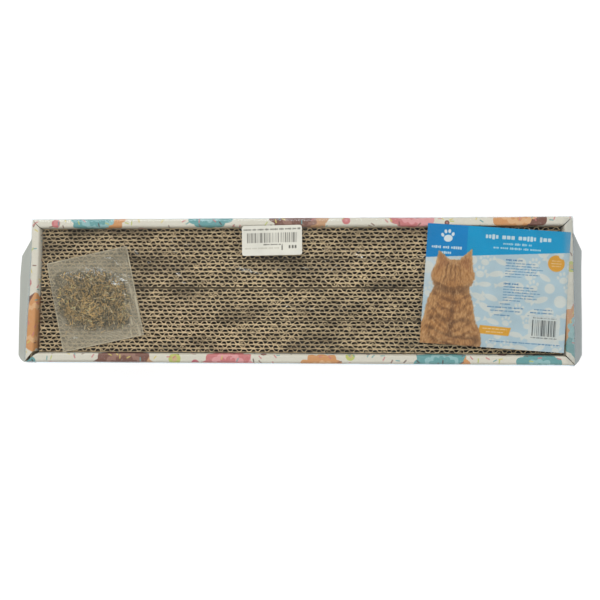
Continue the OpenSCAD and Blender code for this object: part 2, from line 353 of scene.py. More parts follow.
def add_light():
    bpy.context.scene.view_settings.view_transform = "Standard"
    world = bpy.data.worlds.new("soft_room")
    bpy.context.scene.world = world
    world.use_nodes = True
    tree = world.node_tree
    tree.nodes.clear()
    height = axis(node(tree, "TexCoord", out="Generated"), 2)
    camera, glossy = node(tree, "LightPath", out=("Is Camera Ray", "Is Glossy Ray"))
    level = mix(glossy, spread(height, -0.1, 0.9, 0.42, 0.58), 0.3)
    shine = node(tree, "Background", {"Color": WHITE, "Strength": mix(camera, level, 1.0)})
    node(tree, "OutputWorld", {0: shine}, ())
    for name, size, power, place in LAMPS:
        data = bpy.data.lights.new(name, "AREA")
        data.shape, data.size, data.energy = "DISK", size, power
        data.spread = math.pi
        lamp = link(name, data, place)
        lamp.rotation_euler = (-lamp.location.normalized()).to_track_quat("-Z", "Y").to_euler()


# Tray, on the sizes of its CAD node

tray_low, tray_high = cad_box("tray")
TRAY_X, TRAY_Y = tray_high[0], tray_high[1]
TRAY_Z, RIM_Z = tray_low[2], tray_high[2]
WALL = RIM_Z - TRAY_Z
RIM = 7.0
BOARD = 1.5
FOLD = 1.8
FLAP_GAP = 0.3
TAB = 28.0
# width of the mitre slit at the front right, back right, back left and front left corner, and how much more
# it gapes at its inner end
CORNER_SLITS = np.array([0.35, 0.35, 0.25, 0.6])
CORNER_GAPES = np.array([0.25, 0.25, 0.3, 2.2])
# how far the turned-in flap leans on the pads, at the front, right, back and left
FLAP_LEANS = (1.1, 1.2, 0.15, 0.4)
WALL_STEP = 2.2


def arc(x, y, radius, start, steps):
    """A quarter turn, clockwise from the angle start."""
    angles = np.radians(np.linspace(start, start - 90, steps))
    return np.stack([x + radius * np.cos(angles), y + radius * np.sin(angles)], 1)


def bulge(x, y):
    """How far the left end has been pushed out of square towards its front corner."""
    return -2.4 * ramp(-150, -TRAY_X, x) * ramp(25, -TRAY_Y, y)


def wall_profile():
    """Outer and inner path of one folded wall, as depth behind its outer face and height."""
    top, far, small = WALL - FOLD, RIM - FOLD, FOLD - BOARD
    rise = np.linspace(FOLD, top, 8)[1:-1]
    fall = np.linspace(top, BOARD + FLAP_GAP, 8)[1:]
    outer = [arc(FOLD, FOLD, FOLD, 270, 7), np.stack([0 * rise, rise], 1), arc(FOLD, top, FOLD, 180, 8),
             np.stack([np.linspace(FOLD, far, 7)[1:-1], np.full(5, WALL)], 1), arc(far, top, FOLD, 90, 8),
             np.stack([0 * fall + RIM, fall], 1)]
    inner = [arc(FOLD, FOLD, small, 270, 4), np.stack([0 * rise + BOARD, rise], 1),
             arc(FOLD, top, small, 180, 4), arc(far, top, small, 90, 4),
             np.stack([0 * fall + RIM - BOARD, fall], 1)]
    return np.concatenate(outer), np.concatenate(inner)


def add_tray(printed, raw):
    shape = Shape()
    outer, inner = wall_profile()
    depth, rise = np.concatenate([outer, inner[::-1]]).T
    steps = np.concatenate([[0], np.cumsum(np.hypot(*np.diff(outer, axis=0).T))])
    run = np.concatenate([steps, np.linspace(steps[-1], 0, len(inner))])
    for turn in range(4):
        half, reach = (TRAY_Y, TRAY_X) if turn % 2 else (TRAY_X, TRAY_Y)
        share = np.linspace(-1, 1, int(half / WALL_STEP))
        share = (np.sign(share) * (1 - (1 - np.abs(share)) ** 1.25))[:, None]
        corner = np.where(share > 0, turn, turn - 1)
        slit = CORNER_SLITS[corner] + CORNER_GAPES[corner] * depth / RIM
        x = share * (half - slit * math.sqrt(0.5) - depth)
        z = np.broadcast_to(rise, x.shape)
        up = ramp(0.3, 1, z / WALL)
        near = ramp(half - 26, half - 2, np.abs(x))
        flap = (depth > RIM - BOARD - 0.01) & (z < WALL - FOLD + 0.01)
        d = depth + flap * FLAP_LEANS[turn] * ramp(WALL - FOLD, WALL - 7, z)
        seed = 31 * turn
        # soft waves of the folded board, stronger at the rim, and a little curl at the corners
        wave = 0.28 * noise(x / 34, seed, seed + 5) + 0.12 * noise(x / 9, seed, seed + 6)
        d = d + up * wave * (1 - 0.7 * flap)
        d = d - up * near * 0.5 * (0.5 + 0.5 * noise(np.sign(x) * 3 + 0.5, turn + 0.5, 7))
        z = z + up * (0.2 * noise(x / 27, seed, seed + 8) - 0.15)
        z = z - up * 0.35 * ramp(half - 9, half, np.abs(x)) * (d < 3)
        wx, wy = turned(x, d - reach, turn * math.pi / 2)
        blank = spots(*turned(x, -reach - run, turn * math.pi / 2), up)
        faces = sweep_faces(len(share), len(depth))
        kinds = np.ones(len(faces), int)
        kinds[:-2][np.arange(len(faces) - 2) % len(depth) < len(outer) - 1] = 0
        shape.add(spots(wx + up * bulge(wx, wy), wy, z + TRAY_Z), faces, kinds, blank)
    # floor panel of the blank
    x, y = grid((FOLD - TRAY_X, TRAY_X - FOLD, 60), (FOLD - TRAY_Y, TRAY_Y - FOLD, 16))
    shape.add_sheet(spots(x, y, TRAY_Z + BOARD), spots(x, y, TRAY_Z + 0.02), (1, 0, 1))
    # glue tabs inside the corners
    y, z = grid((0, TAB, 8), (BOARD, WALL - BOARD - FLAP_GAP, 8))
    for side in (-1, 1):
        for end in (-1, 1):
            bow = 0.08 * noise(y / 9, z / 9, 77 + side + 3 * end)
            face, back = [spots(end * (TRAY_X - inset) + bow, side * (TRAY_Y - BOARD - y), z + TRAY_Z)
                          for inset in (2 * BOARD, BOARD + 0.1)]
            shape.add_sheet(face, back, (1, 1, 1))
    shape.make("printed_tray", "tray", "tray_board", [printed, raw], "blank", 50)


def scatter(place, cell, shift):
    """A random point in each cell of a net: the offset from it, its distance and three numbers."""
    scaled = vectors("ADD", stretched(place, 1 / cell, 1 / cell, 0), (shift, shift * 0.37, 0))
    net = {"Vector": scaled, "Scale": 1.0, "Randomness": 0.9}
    spot, distance, colour = node(place.tree, "TexVoronoi", net, ("Position", "Distance", "Color"),
                                  voronoi_dimensions="2D")
    offset = stretched(vectors("SUBTRACT", scaled, spot), cell, cell, 0)
    return offset, distance * cell, node(place.tree, "SeparateColor", {0: colour}, (0, 1, 2))


def staggered(place, wide, tall, stagger, wander):
    """The spot of a staggered net that a point belongs to: the offset from it and a number from 0 to 1."""
    x, y = axis(place, 0), axis(place, 1)
    row = (y / tall).maths("FLOOR")
    along = x / wide + row * stagger
    column = along.maths("FLOOR")
    number = (column * 0.382 + row * 0.27 + 0.2).maths("FRACT")
    sway = (column * 2.4 + row).maths("SINE")
    across = (along.maths("FRACT") - 0.5) * wide + sway * wander
    return across, y - (row + 0.5) * tall + sway * (-0.6 * wander), number


def pick(number, colours):
    """One of the colours, by a number from 0 to 1."""
    made = number.tree.nodes.new("ShaderNodeValToRGB")
    number.tree.links.new(number.socket, made.inputs[0])
    made.color_ramp.interpolation = "CONSTANT"
    elements = made.color_ramp.elements
    while len(elements) < len(colours):
        elements.new(0.5)
    for k, colour in enumerate(colours):
        elements[k].position = k / len(colours)
        elements[k].color = rgba(colour)
    return Value(made.outputs[0])


TEAL, ORANGE, PINK = (106, 162, 162), (214, 152, 96), (206, 122, 122)
LIME, BROWN, YELLOW = (194, 198, 106), (126, 84, 70), (218, 198, 104)
CREAM, PALE_PINK, PALE_TEAL = (229, 223, 207), (226, 158, 158), (148, 190, 190)
TAN = (202, 156, 116)
# width and height of the net of blossoms, its shift from row to row and how far they wander from it
BLOSSOM_NET = (86.0, 61.0, 0.41, 6.0)
BLOSSOM_RADII, DOT_RADII = (19.0, 25.0), (1.6, 5.2)
PETALS, PETAL_DEPTH = 7.0, -2.2
# cell, shift and colours of two layers of confetti
CONFETTI = ((8.6, 1.7, [BROWN, TEAL, PINK, YELLOW, TEAL, (84, 58, 50)]),
            (11.5, 6.3, [YELLOW, PINK, LIME, BROWN, PINK, TEAL]))
DASH_HALF = (1.75, 0.5)


def print_shader(tree):
    """Cream board with large round blossoms, small dots and confetti, printed flat on the blank."""
    place = attribute(tree, "blank")
    wobble = texture(place, 0.09, 2.0) - 0.5
    grain = texture(place, 1.3, 4.0, 0.7)
    fibre = texture(stretched(place, 0.25, 2.0, 1), 1.6, 3.0)
    colour = blend(grain, (219, 213, 197), CREAM)
    colour = blend(spread(fibre, 0.45, 0.7, 0.0, 0.25), colour, (198, 188, 168))
    # large blossoms: petals round the rim, a border of another colour at one side, and a lighter band
    across, up, number = staggered(place, *BLOSSOM_NET)
    radius = spread((number * 3.7).maths("FRACT"), 0, 1, *BLOSSOM_RADII)
    petal = (up.maths("ARCTAN2", across) * PETALS).maths("SINE").maths("ABSOLUTE")
    wavy = (across * across + up * up).maths("SQRT") + petal * PETAL_DEPTH + wobble * 5.0
    inside = wavy < radius
    colour = blend(inside, colour, pick(number, [TEAL, ORANGE, BROWN, TEAL, PINK]))
    rim_side = (across + up * 0.5) > radius * 0.62
    colour = blend(rim_side * inside, colour, pick(number, [TEAL, BROWN, TAN, ORANGE, PALE_PINK]))
    band = (wavy - radius * 0.56).maths("ABSOLUTE") < 2.1
    light = [PALE_TEAL, (226, 178, 130), (156, 116, 100), PALE_TEAL, PALE_PINK]
    colour = blend(band * inside, colour, pick(number, light))
    # small dots with a lighter middle
    _, distance, numbers = scatter(place, 31.0, 8.1)
    radius = spread(numbers[0], 0, 1, *DOT_RADII)
    dot = (distance < radius) * (inside < 0.5)
    colour = blend(dot, colour, pick(numbers[1], [BROWN, PINK, BROWN, LIME, (196, 100, 112)]))
    colour = blend(dot * (distance < radius * 0.45) * 0.45, colour, PALE_PINK)
    for cell, shift, colours in CONFETTI:
        offset, _, numbers = scatter(place, cell, shift)
        dash = node(tree, "VectorRotate", {"Vector": offset, "Angle": numbers[0] * (2 * math.pi)},
                    rotation_type="Z_AXIS")
        along, across = [axis(dash, k).maths("ABSOLUTE") < DASH_HALF[k] for k in (0, 1)]
        colour = blend(along * across * (numbers[2] > 0.3) * 0.85, colour, pick(numbers[1], colours))
    # faded ink and a little rubbing
    rub = spread(texture(place, 0.55, 5.0, 0.75), 0.56, 0.75, 0.0, 0.4)
    colour = blend(rub, colour, (216, 212, 200))
    height = grain * 0.5 + texture(place, 0.16, 2.0)
    return paper_like(colour, spread(grain, 0.3, 0.7, 0.42, 0.58), bump(height, 0.35, 0.3), 0.45)


def kraft_shader(tree, face, dark, edge, edge_dark):
    """Brown paper: fibres on its faces, and a paler rough cut on faces that look up. The cut is partly its
    own paler colour and partly painted light from above; the other faces are painted darker as shade.
    """
    place = object_place(tree)
    fine = texture(place, 1.9, 4.0, 0.7)
    fibre = texture(stretched(place, 0.3, 1.0, 1.6), 1.4, 3.0, 0.6)
    cloud = texture(stretched(place, 0.028, 0.07, 0.02), 1.0, 3.0, 0.6)
    # faces that do not look up: fibres over a colour darkened as painted shade, deepest in the tunnels
    side = blend(spread(fibre, 0.3, 0.7), dark, face)
    # faces that look up: the rough cut, painted paler as light from above
    cut = blend(spread(fine, 0.32, 0.66), edge_dark, edge)
    up = axis(node(tree, "NewGeometry", out="True Normal"), 2)
    # blotches of darker tone, and darker towards the left end
    darkening = spread(cloud, 0.42, 0.68, 0.0, 0.55) + spread(axis(place, 0), -200, -60, 0.2, 0.0)
    colour = blend(darkening, blend(spread(up, 0.35, 0.8), side, cut), dark)
    return paper_like(colour, 0.92, bump(fine + fibre, 0.5, 0.25), 0.25)


# Corrugated strips

FLUTE_PITCH = 7.74
LINER = 0.31
FLUTE = 0.42
# half width of a wide tunnel at mid height, and how gently its flanks turn
WIDE_HALF = 2.05
FLANK = 0.3
PHASE_STEP = 0.618
# heights along a paper as shares, and how far its crushed edge is spread there
EDGE_LEVELS = ((0.0, 0.0), (0.93, 0.0), (0.984, 0.06), (1.0, 0.13))
PADS = (8, 7, 8, 8)
# length of a cell along the fluted paper and along a liner
FLUTE_CELL, LINER_CELL = 0.43, 0.85
# fewest torn flaps on a strip, and how many more there may be
FLAPS, MORE_FLAPS = 14, 6
FIBRES = 46


def paper_tube(outer, inner, low_z, high_z, seed, flare=(1.0, 1.0)):
    """A standing sheet of paper between two curves seen from above, with a crushed and rough top edge."""
    n = len(outer)
    t = np.arange(n) * 0.37
    away = outer - inner
    away = away / (np.linalg.norm(away, axis=1)[:, None] + 1e-9)

    def side(curve, sign, share, spread_by, salt):
        fray = ramp(0.6, 1, share) * 0.09
        push = np.stack([noise(t, share * 9, seed + salt + k) for k in (0, 1)], 1) * fray
        push = push + away * sign * (spread_by * (1 + 0.6 * noise(t * 0.7, 2, seed + salt + 2)))[:, None]
        lift = 0.16 * rough(t * 0.8, salt, seed + 3) - 0.14 if share == 1.0 else 0 * t
        return np.column_stack([curve + push, low_z + (high_z - low_z) * share + lift])

    loop = [side(outer, 1, share, reach * flare[0], 1) for share, reach in EDGE_LEVELS]
    loop.append(np.column_stack([(outer + inner) / 2, high_z + 0.1 * rough(t, 4, seed + 4) - 0.02]))
    loop += [side(inner, -1, share, reach * flare[1], 5) for share, reach in EDGE_LEVELS[::-1]]
    return np.stack(loop, 1).reshape(-1, 3), sweep_faces(n, len(loop))


def chip(centre, along, across, thickness, sides, random):
    """A small torn scrap of paper: an uneven polygon with a thickness."""
    angles = np.sort(random.uniform(0, 2 * math.pi, sides))[:, None]
    reach = random.uniform(0.65, 1.1, sides)[:, None]
    flat = centre + reach * (np.cos(angles) * along + np.sin(angles) * across)
    lift = np.cross(along, across)
    lift = lift / (np.linalg.norm(lift) + 1e-9) * thickness
    faces = [list(range(sides))[::-1], [sides + k for k in range(sides)]]
    faces += [[k, (k + 1) % sides, sides + (k + 1) % sides, sides + k] for k in range(sides)]
    return np.concatenate([flat, flat + lift]), faces


def opened(x, pad, layer):
    """How far a liner is worn back where two pads lie tightly together, most at the right and the front."""
    if layer != (0 if pad % 2 else PADS[pad] - 1):
        return 0 * x
    grow = 0.6 + 0.4 * ramp(0, 80, x) * (pad > 1)
    return grow * np.clip(0.34 + 0.34 * rough(x / 6, 1, 900 + pad), 0.04, 0.5)


def add_strip(name, pad, layer, index, board):
    low, high = cad_box(name)
    length = high[0] - low[0]
    mouth_y, toward = (low[1], 1.0) if pad % 2 else (high[1], -1.0)
    depth = high[1] - low[1] - 2 * LINER - FLUTE
    phase = (index * PHASE_STEP) % 1.0
    seed = 100 + index * 17
    random = np.random.RandomState(500 + index)
    shape = Shape()

    def at(x, y):
        """A place on the plan, counted from the strip's left end and from the side of its mouths."""
        return np.stack([low[0] + x, mouth_y + toward * y], -1)

    # fluted paper: an arch over each wide tunnel, with steep flanks between its two glued crests
    s = np.arange(0, length + 0.01, FLUTE_CELL)
    turns = s / FLUTE_PITCH - phase + 0.07 * noise(s / 9, 0, seed)
    cell = np.round(turns)
    off = np.abs(turns - cell) * FLUTE_PITCH
    wide = WIDE_HALF * (1 + 0.16 * noise(cell * 1.7, 0.5, seed + 9))
    flank = FLANK * (1 + 0.35 * noise(cell * 0.9, 6.5, seed + 10))
    y = FLUTE / 2 + depth / (1 + np.exp((off - wide) / flank))
    curve = np.stack([s + 0.5 * noise(turns * 0.9, 3.3, seed + 11) * (y - 1.2), y], 1)
    slope = np.gradient(curve, axis=0)
    normal = np.stack([-slope[:, 1], slope[:, 0]], 1)
    normal /= np.linalg.norm(normal, axis=1)[:, None]
    half = (FLUTE / 2 * (0.98 + 0.2 * noise(s / 1.3, 1, seed + 12)))[:, None]
    sides = [at(np.clip(x, 0, length), LINER + np.clip(y, -LINER * 0.5, depth + FLUTE + LINER * 0.5))
             for x, y in ((curve + normal * half).T, (curve - normal * half).T)]
    points, faces = paper_tube(*sides, low[2], high[2] - 0.15, seed + 20)
    sunk = np.minimum(0.25 * rough(s / 40, 5, seed + 13), 0)
    points[:, 2] += np.repeat(sunk, len(points) // len(s)) * ramp(high[2] - 3, high[2], points[:, 2])
    shape.add(points, faces)

    # the two flat liners, the far one worn back at a tight seam
    s = np.arange(0, length + 0.01, LINER_CELL)
    swell = [0.06 * noise(s / 2.1, side + 0.5, seed + 30) for side in (0, 1)]
    back = high[1] - low[1] - opened(low[0] + s, pad, layer)
    front = np.minimum(high[1] - low[1] - LINER - swell[1], back - 0.2)
    for side, (near, far) in enumerate(((0 * s, LINER + swell[0]), (front, back))):
        shape.add(*paper_tube(at(s, near), at(s, far), low[2], high[2], seed + 40 + side, (side, 1 - side)))

    # torn flaps that half cover some tunnels
    for _ in range(int(FLAPS + MORE_FLAPS * random.rand())):
        k = random.randint(1, int(length / FLUTE_PITCH))
        wide = random.rand() < 0.6
        x = (k + phase + (0.0 if wide else 0.5)) * FLUTE_PITCH
        if x > length - 3 or x < 3:
            continue
        y = LINER + (0.9 if wide else depth - 0.35)
        centre = [*at(x + random.uniform(-0.8, 0.8), y), high[2] - random.uniform(0.5, 2.2)]
        along = random.uniform((0.9, -0.3, -0.3), (1.9, 0.3, 0.3))
        across = random.uniform((-0.3, 0.5, -0.4), (0.3, 1.0, 0.4))
        shape.add(*chip(centre, along, across, 0.14, 8, random))

    # loose fibres on the cut edges
    for _ in range(FIBRES):
        x = random.uniform(2, length - 2)
        centre = [*at(x, random.choice([0.3, 1.6, 3.0])), high[2] - random.uniform(0.0, 0.15)]
        c, s = turned(1, 0, random.uniform(0, 2 * math.pi))
        reach = random.uniform(0.4, 1.1)
        along = np.array([c, s, random.uniform(-0.2, 0.1)]) * reach
        shape.add(*chip(centre, along, np.array([-s, c, 0.2]) * 0.09, 0.08, 5, random))
    shape.make("board_" + name, name, "corrugated", [board], None, 50)


def add_strips(board):
    index = 0
    for pad, layers in enumerate(PADS):
        for layer in range(layers):
            add_strip(f"pad{pad + 1}_strip{layer + 1}", pad, layer, index, board)
            index += 1


# Printed papers: ink is painted for each point by plain shapes. Turns are in degrees here.

def covered(distance, soft=0.3):
    """1 inside a shape and 0 outside, from the distance to its border."""
    return np.clip(0.5 - distance / soft, 0, 1)


def disc(x, y, cx, cy, rx, ry=None, turn=0.0):
    """Rough distance to the border of a round or oval spot."""
    ry = ry or rx
    a, b = turned(x - cx, y - cy, -math.radians(turn))
    return (np.hypot(a / rx, b / ry) - 1) * min(rx, ry)


def bar(x, y, cx, cy, half_x, half_y, turn=0.0, lean=0.0, corner=0.0):
    """Distance to the border of a turned bar, which may lean and have rounded corners."""
    a, b = turned(x - cx, y - cy, -math.radians(turn))
    dx, dy = np.abs(a - lean * b) - half_x + corner, np.abs(b) - half_y + corner
    return np.hypot(np.maximum(dx, 0), np.maximum(dy, 0)) + np.minimum(np.maximum(dx, dy), 0) - corner


def plain_ink(u, colour):
    ink = np.empty(u.shape + (3,))
    ink[:] = colour
    return ink


def lay(ink, share, colour):
    """Prints a colour over the ink, where share is 1."""
    share = np.asarray(share)[..., None]
    ink *= 1 - share
    ink += share * np.asarray(colour, float)


def word_bars(ink, x, y, left, level, length, height, colour, seed, turn=0.0, strength=0.9):
    """A plain row of small blocks in groups, as far-off print looks, with no letters in it."""
    random = np.random.RandomState(seed)
    at, left_in_word = 0.0, random.randint(3, 8)
    c, s = turned(1, 0, math.radians(turn))
    rows = np.where((np.abs(y - level) < height + abs(s) * length).any(axis=0))[0]
    part = np.s_[:, rows[0]:rows[-1] + 1]
    while at < length:
        size = random.uniform(0.42, 0.78) * height
        mid = at + size / 2
        tall = height * random.choice([0.36, 0.38, 0.5])
        shape = bar(x[part], y[part], left + mid * c, level + mid * s, size / 2, tall, turn,
                    corner=height * 0.14)
        lay(ink[part], covered(shape, 0.22) * strength, colour)
        left_in_word -= 1
        at += size + height * (0.16 if left_in_word else 0.75)
        left_in_word = left_in_word or random.randint(3, 8)


def stripe_block(ink, x, y, cx, cy, width, height, colour, seed, turn=0.0):
    """Upright stripes of uneven width, with no number or code behind them."""
    random = np.random.RandomState(seed)
    at = -width / 2
    c, s = turned(1, 0, math.radians(turn))
    while at < width / 2:
        size = random.choice([0.25, 0.4, 0.7, 0.9])
        mid = at + size / 2
        shape = bar(x, y, cx + mid * c, cy + mid * s, size / 2, height / 2, turn)
        lay(ink, covered(shape, 0.2) * random.uniform(0.6, 1), colour)
        at += size + random.choice([0.4, 0.6, 0.9, 1.3])


def paw(x, y, cx, cy, size, turn):
    """The common paw mark: one large pad and four toes."""
    shapes = []
    for along, up, rx, ry in ((0, -0.25, 0.52, 0.42), (-0.62, 0.22, 0.17, 0.24), (-0.22, 0.6, 0.17, 0.24),
                              (0.24, 0.6, 0.17, 0.24), (0.62, 0.2, 0.17, 0.24)):
        ax, ay = turned(along * size, up * size, math.radians(turn))
        shapes.append(disc(x, y, cx + ax, cy + ay, rx * size, ry * size, turn - 30 * along))
    return np.minimum.reduce(shapes)


def fish(x, y, cx, cy, size, turn):
    """The common fish mark: an oval body and a tail."""
    body = disc(x, y, cx, cy, size, 0.42 * size, turn)
    a, b = turned(x - cx, y - cy, -math.radians(turn))
    tail = np.maximum(np.maximum(a + 0.75 * size, -a - 1.5 * size), np.abs(b) - 0.55 * (-a - 0.72 * size))
    return np.minimum(body, tail)


def wedge(x, y, corners):
    """Distance to the border of a convex shape, from its corners taken counterclockwise."""
    far = -99.0
    for (x1, y1), (x2, y2) in zip(corners, corners[1:] + corners[:1]):
        far = np.maximum(far, ((x - x1) * (y2 - y1) - (y - y1) * (x2 - x1)) / math.hypot(x2 - x1, y2 - y1))
    return far


def soft_join(a, b, reach):
    """The smaller of two distances, with the notch between them filled."""
    return -reach * np.logaddexp(-a / reach, -b / reach)


def paper_shader(tree, roughness, fleck):
    """Printed paper that takes its ink from the piece's colours, with paper grain and a soft gloss."""
    place = object_place(tree)
    grain = texture(place, 2.4, 4.0, 0.7)
    cloud = texture(place, 0.05, 2.0)
    colour = blend(spread(grain, 0.42, 0.72, 0.0, fleck), attribute(tree, "ink", "Color"), (226, 224, 214))
    colour = blend(spread(cloud, 0.35, 0.7, 0.0, 0.12), colour, (40, 60, 70))
    return paper_like(colour, roughness, bump(grain + cloud * 6.0, 0.25, 0.12), 0.15)


def paper_grid(length, width, cell, step):
    """Flat coordinates of a sheet, cut each way into a number of cells that step divides."""
    return grid(*[(-size / 2, size / 2, int(size / cell / step) * step + 1) for size in (length, width)])


def add_paper(names, paper, x, y, low, thick, ink, plain, step):
    """A sheet with its ink on top and a plain underside."""
    top, under = spots(x, y, low + thick), spots(x, y, low)
    backs = np.broadcast_to(to_linear(plain), under[::step, ::step].shape)
    values = np.concatenate([to_linear(ink).reshape(-1, 3), backs.reshape(-1, 3)])
    shape = Shape()
    shape.add_sheet(top, under, values=values, step=step)
    shape.make(*names, [paper], "ink")


# Label card, bowed as its CAD node is

INNER_X, INNER_Y = TRAY_X - RIM, TRAY_Y - RIM
PAD_TOP = cad_box("pad1_strip1")[1][2]
CARD_LENGTH, CARD_TURN, CARD_THICK = 115.0, math.radians(4.1), 0.35
CARD_OVER_RIGHT, CARD_OVER_BACK, CARD_FRONT_GAP = 5.3, 2.2, 2.2
SEAT_GAP = 0.05
CARD_CELL, CARD_STEP = 0.36, 8
PAPER_WHITE, BLUE, GREY, DARK = (222, 229, 230), (58, 112, 160), (96, 100, 100), (52, 54, 54)
PALE_BLUE, PALE_ORANGE, CARD_BACK = (212, 214, 206), (240, 216, 170), (214, 212, 204)


def card_frame():
    """The card's width, and two functions: the place of its points on the plan, and its height there."""
    sine, cosine = math.sin(CARD_TURN), math.cos(CARD_TURN)
    width = (2 * INNER_Y + CARD_OVER_BACK - CARD_FRONT_GAP - CARD_LENGTH * sine) / cosine
    x = INNER_X + CARD_OVER_RIGHT - (CARD_LENGTH * cosine + width * sine) / 2
    y = INNER_Y + CARD_OVER_BACK - (width * cosine + CARD_LENGTH * sine) / 2

    def place(u, v):
        du, dv = turned(u, v, -CARD_TURN)
        return np.array([x + du, y + dv])

    start = place(-CARD_LENGTH / 2, (INNER_Y - y - CARD_LENGTH / 2 * sine) / cosine)
    end = place(CARD_LENGTH / 2, (INNER_X - x - CARD_LENGTH / 2 * cosine) / sine)
    line = (end - start) / np.linalg.norm(end - start)
    down = np.array([line[1], -line[0]])
    drop = RIM_Z - PAD_TOP
    reach = (place(-CARD_LENGTH / 2, -width / 2) - start) @ down
    radius = (reach ** 2 + drop ** 2) / (2 * drop)

    def height(px, py):
        t = np.maximum((px - start[0]) * down[0] + (py - start[1]) * down[1], 0)
        return RIM_Z + SEAT_GAP - (radius - np.sqrt(radius ** 2 - t ** 2))

    return width, place, height


def card_ink(u, v, half):
    """The card's print: a slanted two-part blue band, pale marks, a tabby animal seen from behind, bars."""
    ink = plain_ink(u, (179, 200, 208))

    def rows(colour, strength, table):
        """Rows of blocks, each by its left end, depth under the card's top, length, height and seed."""
        for left, depth, length, height, seed in table:
            word_bars(ink, u, v, left, half - depth, length, height, colour, seed, strength=strength)

    lay(ink, ramp(-6, -56, u) * ramp(-24, 16, v) * 0.6, (212, 219, 220))
    random = np.random.RandomState(41)
    for row in range(9):
        for column in range(9):
            cx = -54 + 13.2 * column + 6.6 * (row % 2) + random.uniform(-2.0, 2.0)
            cy = -47 + 9.8 * row + random.uniform(-1.4, 1.4)
            turn, kind, size = random.uniform(-35, 35), random.rand(), random.uniform(4.9, 6.4)
            if kind < 0.5:
                shape = paw(u, v, cx, cy, size * 1.05, turn)
            elif kind < 0.85:
                shape = fish(u, v, cx, cy, size * 0.95, turn)
            else:
                shape = disc(u, v, cx, cy, size * 0.8)
            lay(ink, covered(shape, 0.5) * 0.9, PALE_BLUE)
    # band
    band = covered(half - (28.0 - 11.0 * (u + CARD_LENGTH / 2) / CARD_LENGTH) - v)
    lay(ink, band, (8, 151, 200))
    lay(ink, band * covered(u + 24.7), (2, 131, 195))
    lay(ink, band * ramp(20, 57, u) * 0.2, (84, 168, 205))
    lay(ink, covered(paw(u, v, -40.6, half - 9.8, 6.8, 8)), PAPER_WHITE)
    rows(PAPER_WHITE, 0.9, ((-53.2, 19.0, 24.5, 2.3, 3), (-45.2, 23.4, 8.5, 2.2, 6),
                            (-10.2, 7.8, 51.0, 4.1, 11)))
    rows(PAPER_WHITE, 0.75, ((4.2, 13.0, 22.0, 1.9, 12), (-3.4, 16.6, 38.0, 1.9, 15)))
    # rows of small blue bars
    for left, depth, seed in ((7.2, 26.0, 21), (6.6, 45.4, 31)):
        rows(BLUE, 0.85, ((left, depth, 12.6, 1.5, seed),))
        rows(BLUE, 0.72, [(left, depth + 2.5 + 2.2 * k, 30 * (0.45 if k == 5 else 0.8 + 0.1 * (k * 7 % 3)),
                           0.95, seed + k + 1) for k in range(6)])
    rows(BLUE, 0.8, ((4.5, 62.0, 8, 1.0, 51), (-5.5, 64.9, 29, 1.0, 52), (-3, 67.7, 24, 1.0, 53),
                     (0.5, 71.2, 12, 1.0, 54), (32, 64.8, 14, 1.0, 55), (29, 67.4, 18, 1.0, 56),
                     (27, 70.0, 22, 1.0, 57), (-2, 92.5, 56, 1.0, 61)))
    # pale panel with stripes
    lay(ink, covered(bar(u, v, 40.6, half - 80.4, 12.4, 11.4)) * 0.8, (211, 214, 208))
    stripe_block(ink, u, v, 40.6, half - 79.4, 19.0, 13.0, DARK, 71)
    rows(GREY, 0.8, ((31.6, 71.4, 18, 0.9, 72), (30.6, 87.4, 20, 1.1, 73)))
    # orange spot with a turned-over bite, and a leaning orange bar
    spot = np.maximum(disc(u, v, 47.4, half - 26.4, 6.7), -disc(u, v, 52.4, half - 19.3, 3.4))
    lay(ink, covered(spot), (222, 160, 58))
    rows((238, 214, 168), 0.9, ((43.9, 24.4, 7, 0.75, 81), (43.4, 26.5, 8, 0.75, 82),
                                (43.9, 28.6, 7, 0.75, 83)))
    lay(ink, covered(bar(u, v, 1.4, half - 84.0, 12.4, 3.4, -1.5, 0.22)), (220, 160, 56))
    rows(PALE_ORANGE, 0.9, ((-8, 82.7, 19, 0.9, 91), (-5, 85.3, 13, 0.9, 92)))
    animal_ink(ink, u, v, half - 98)
    return ink


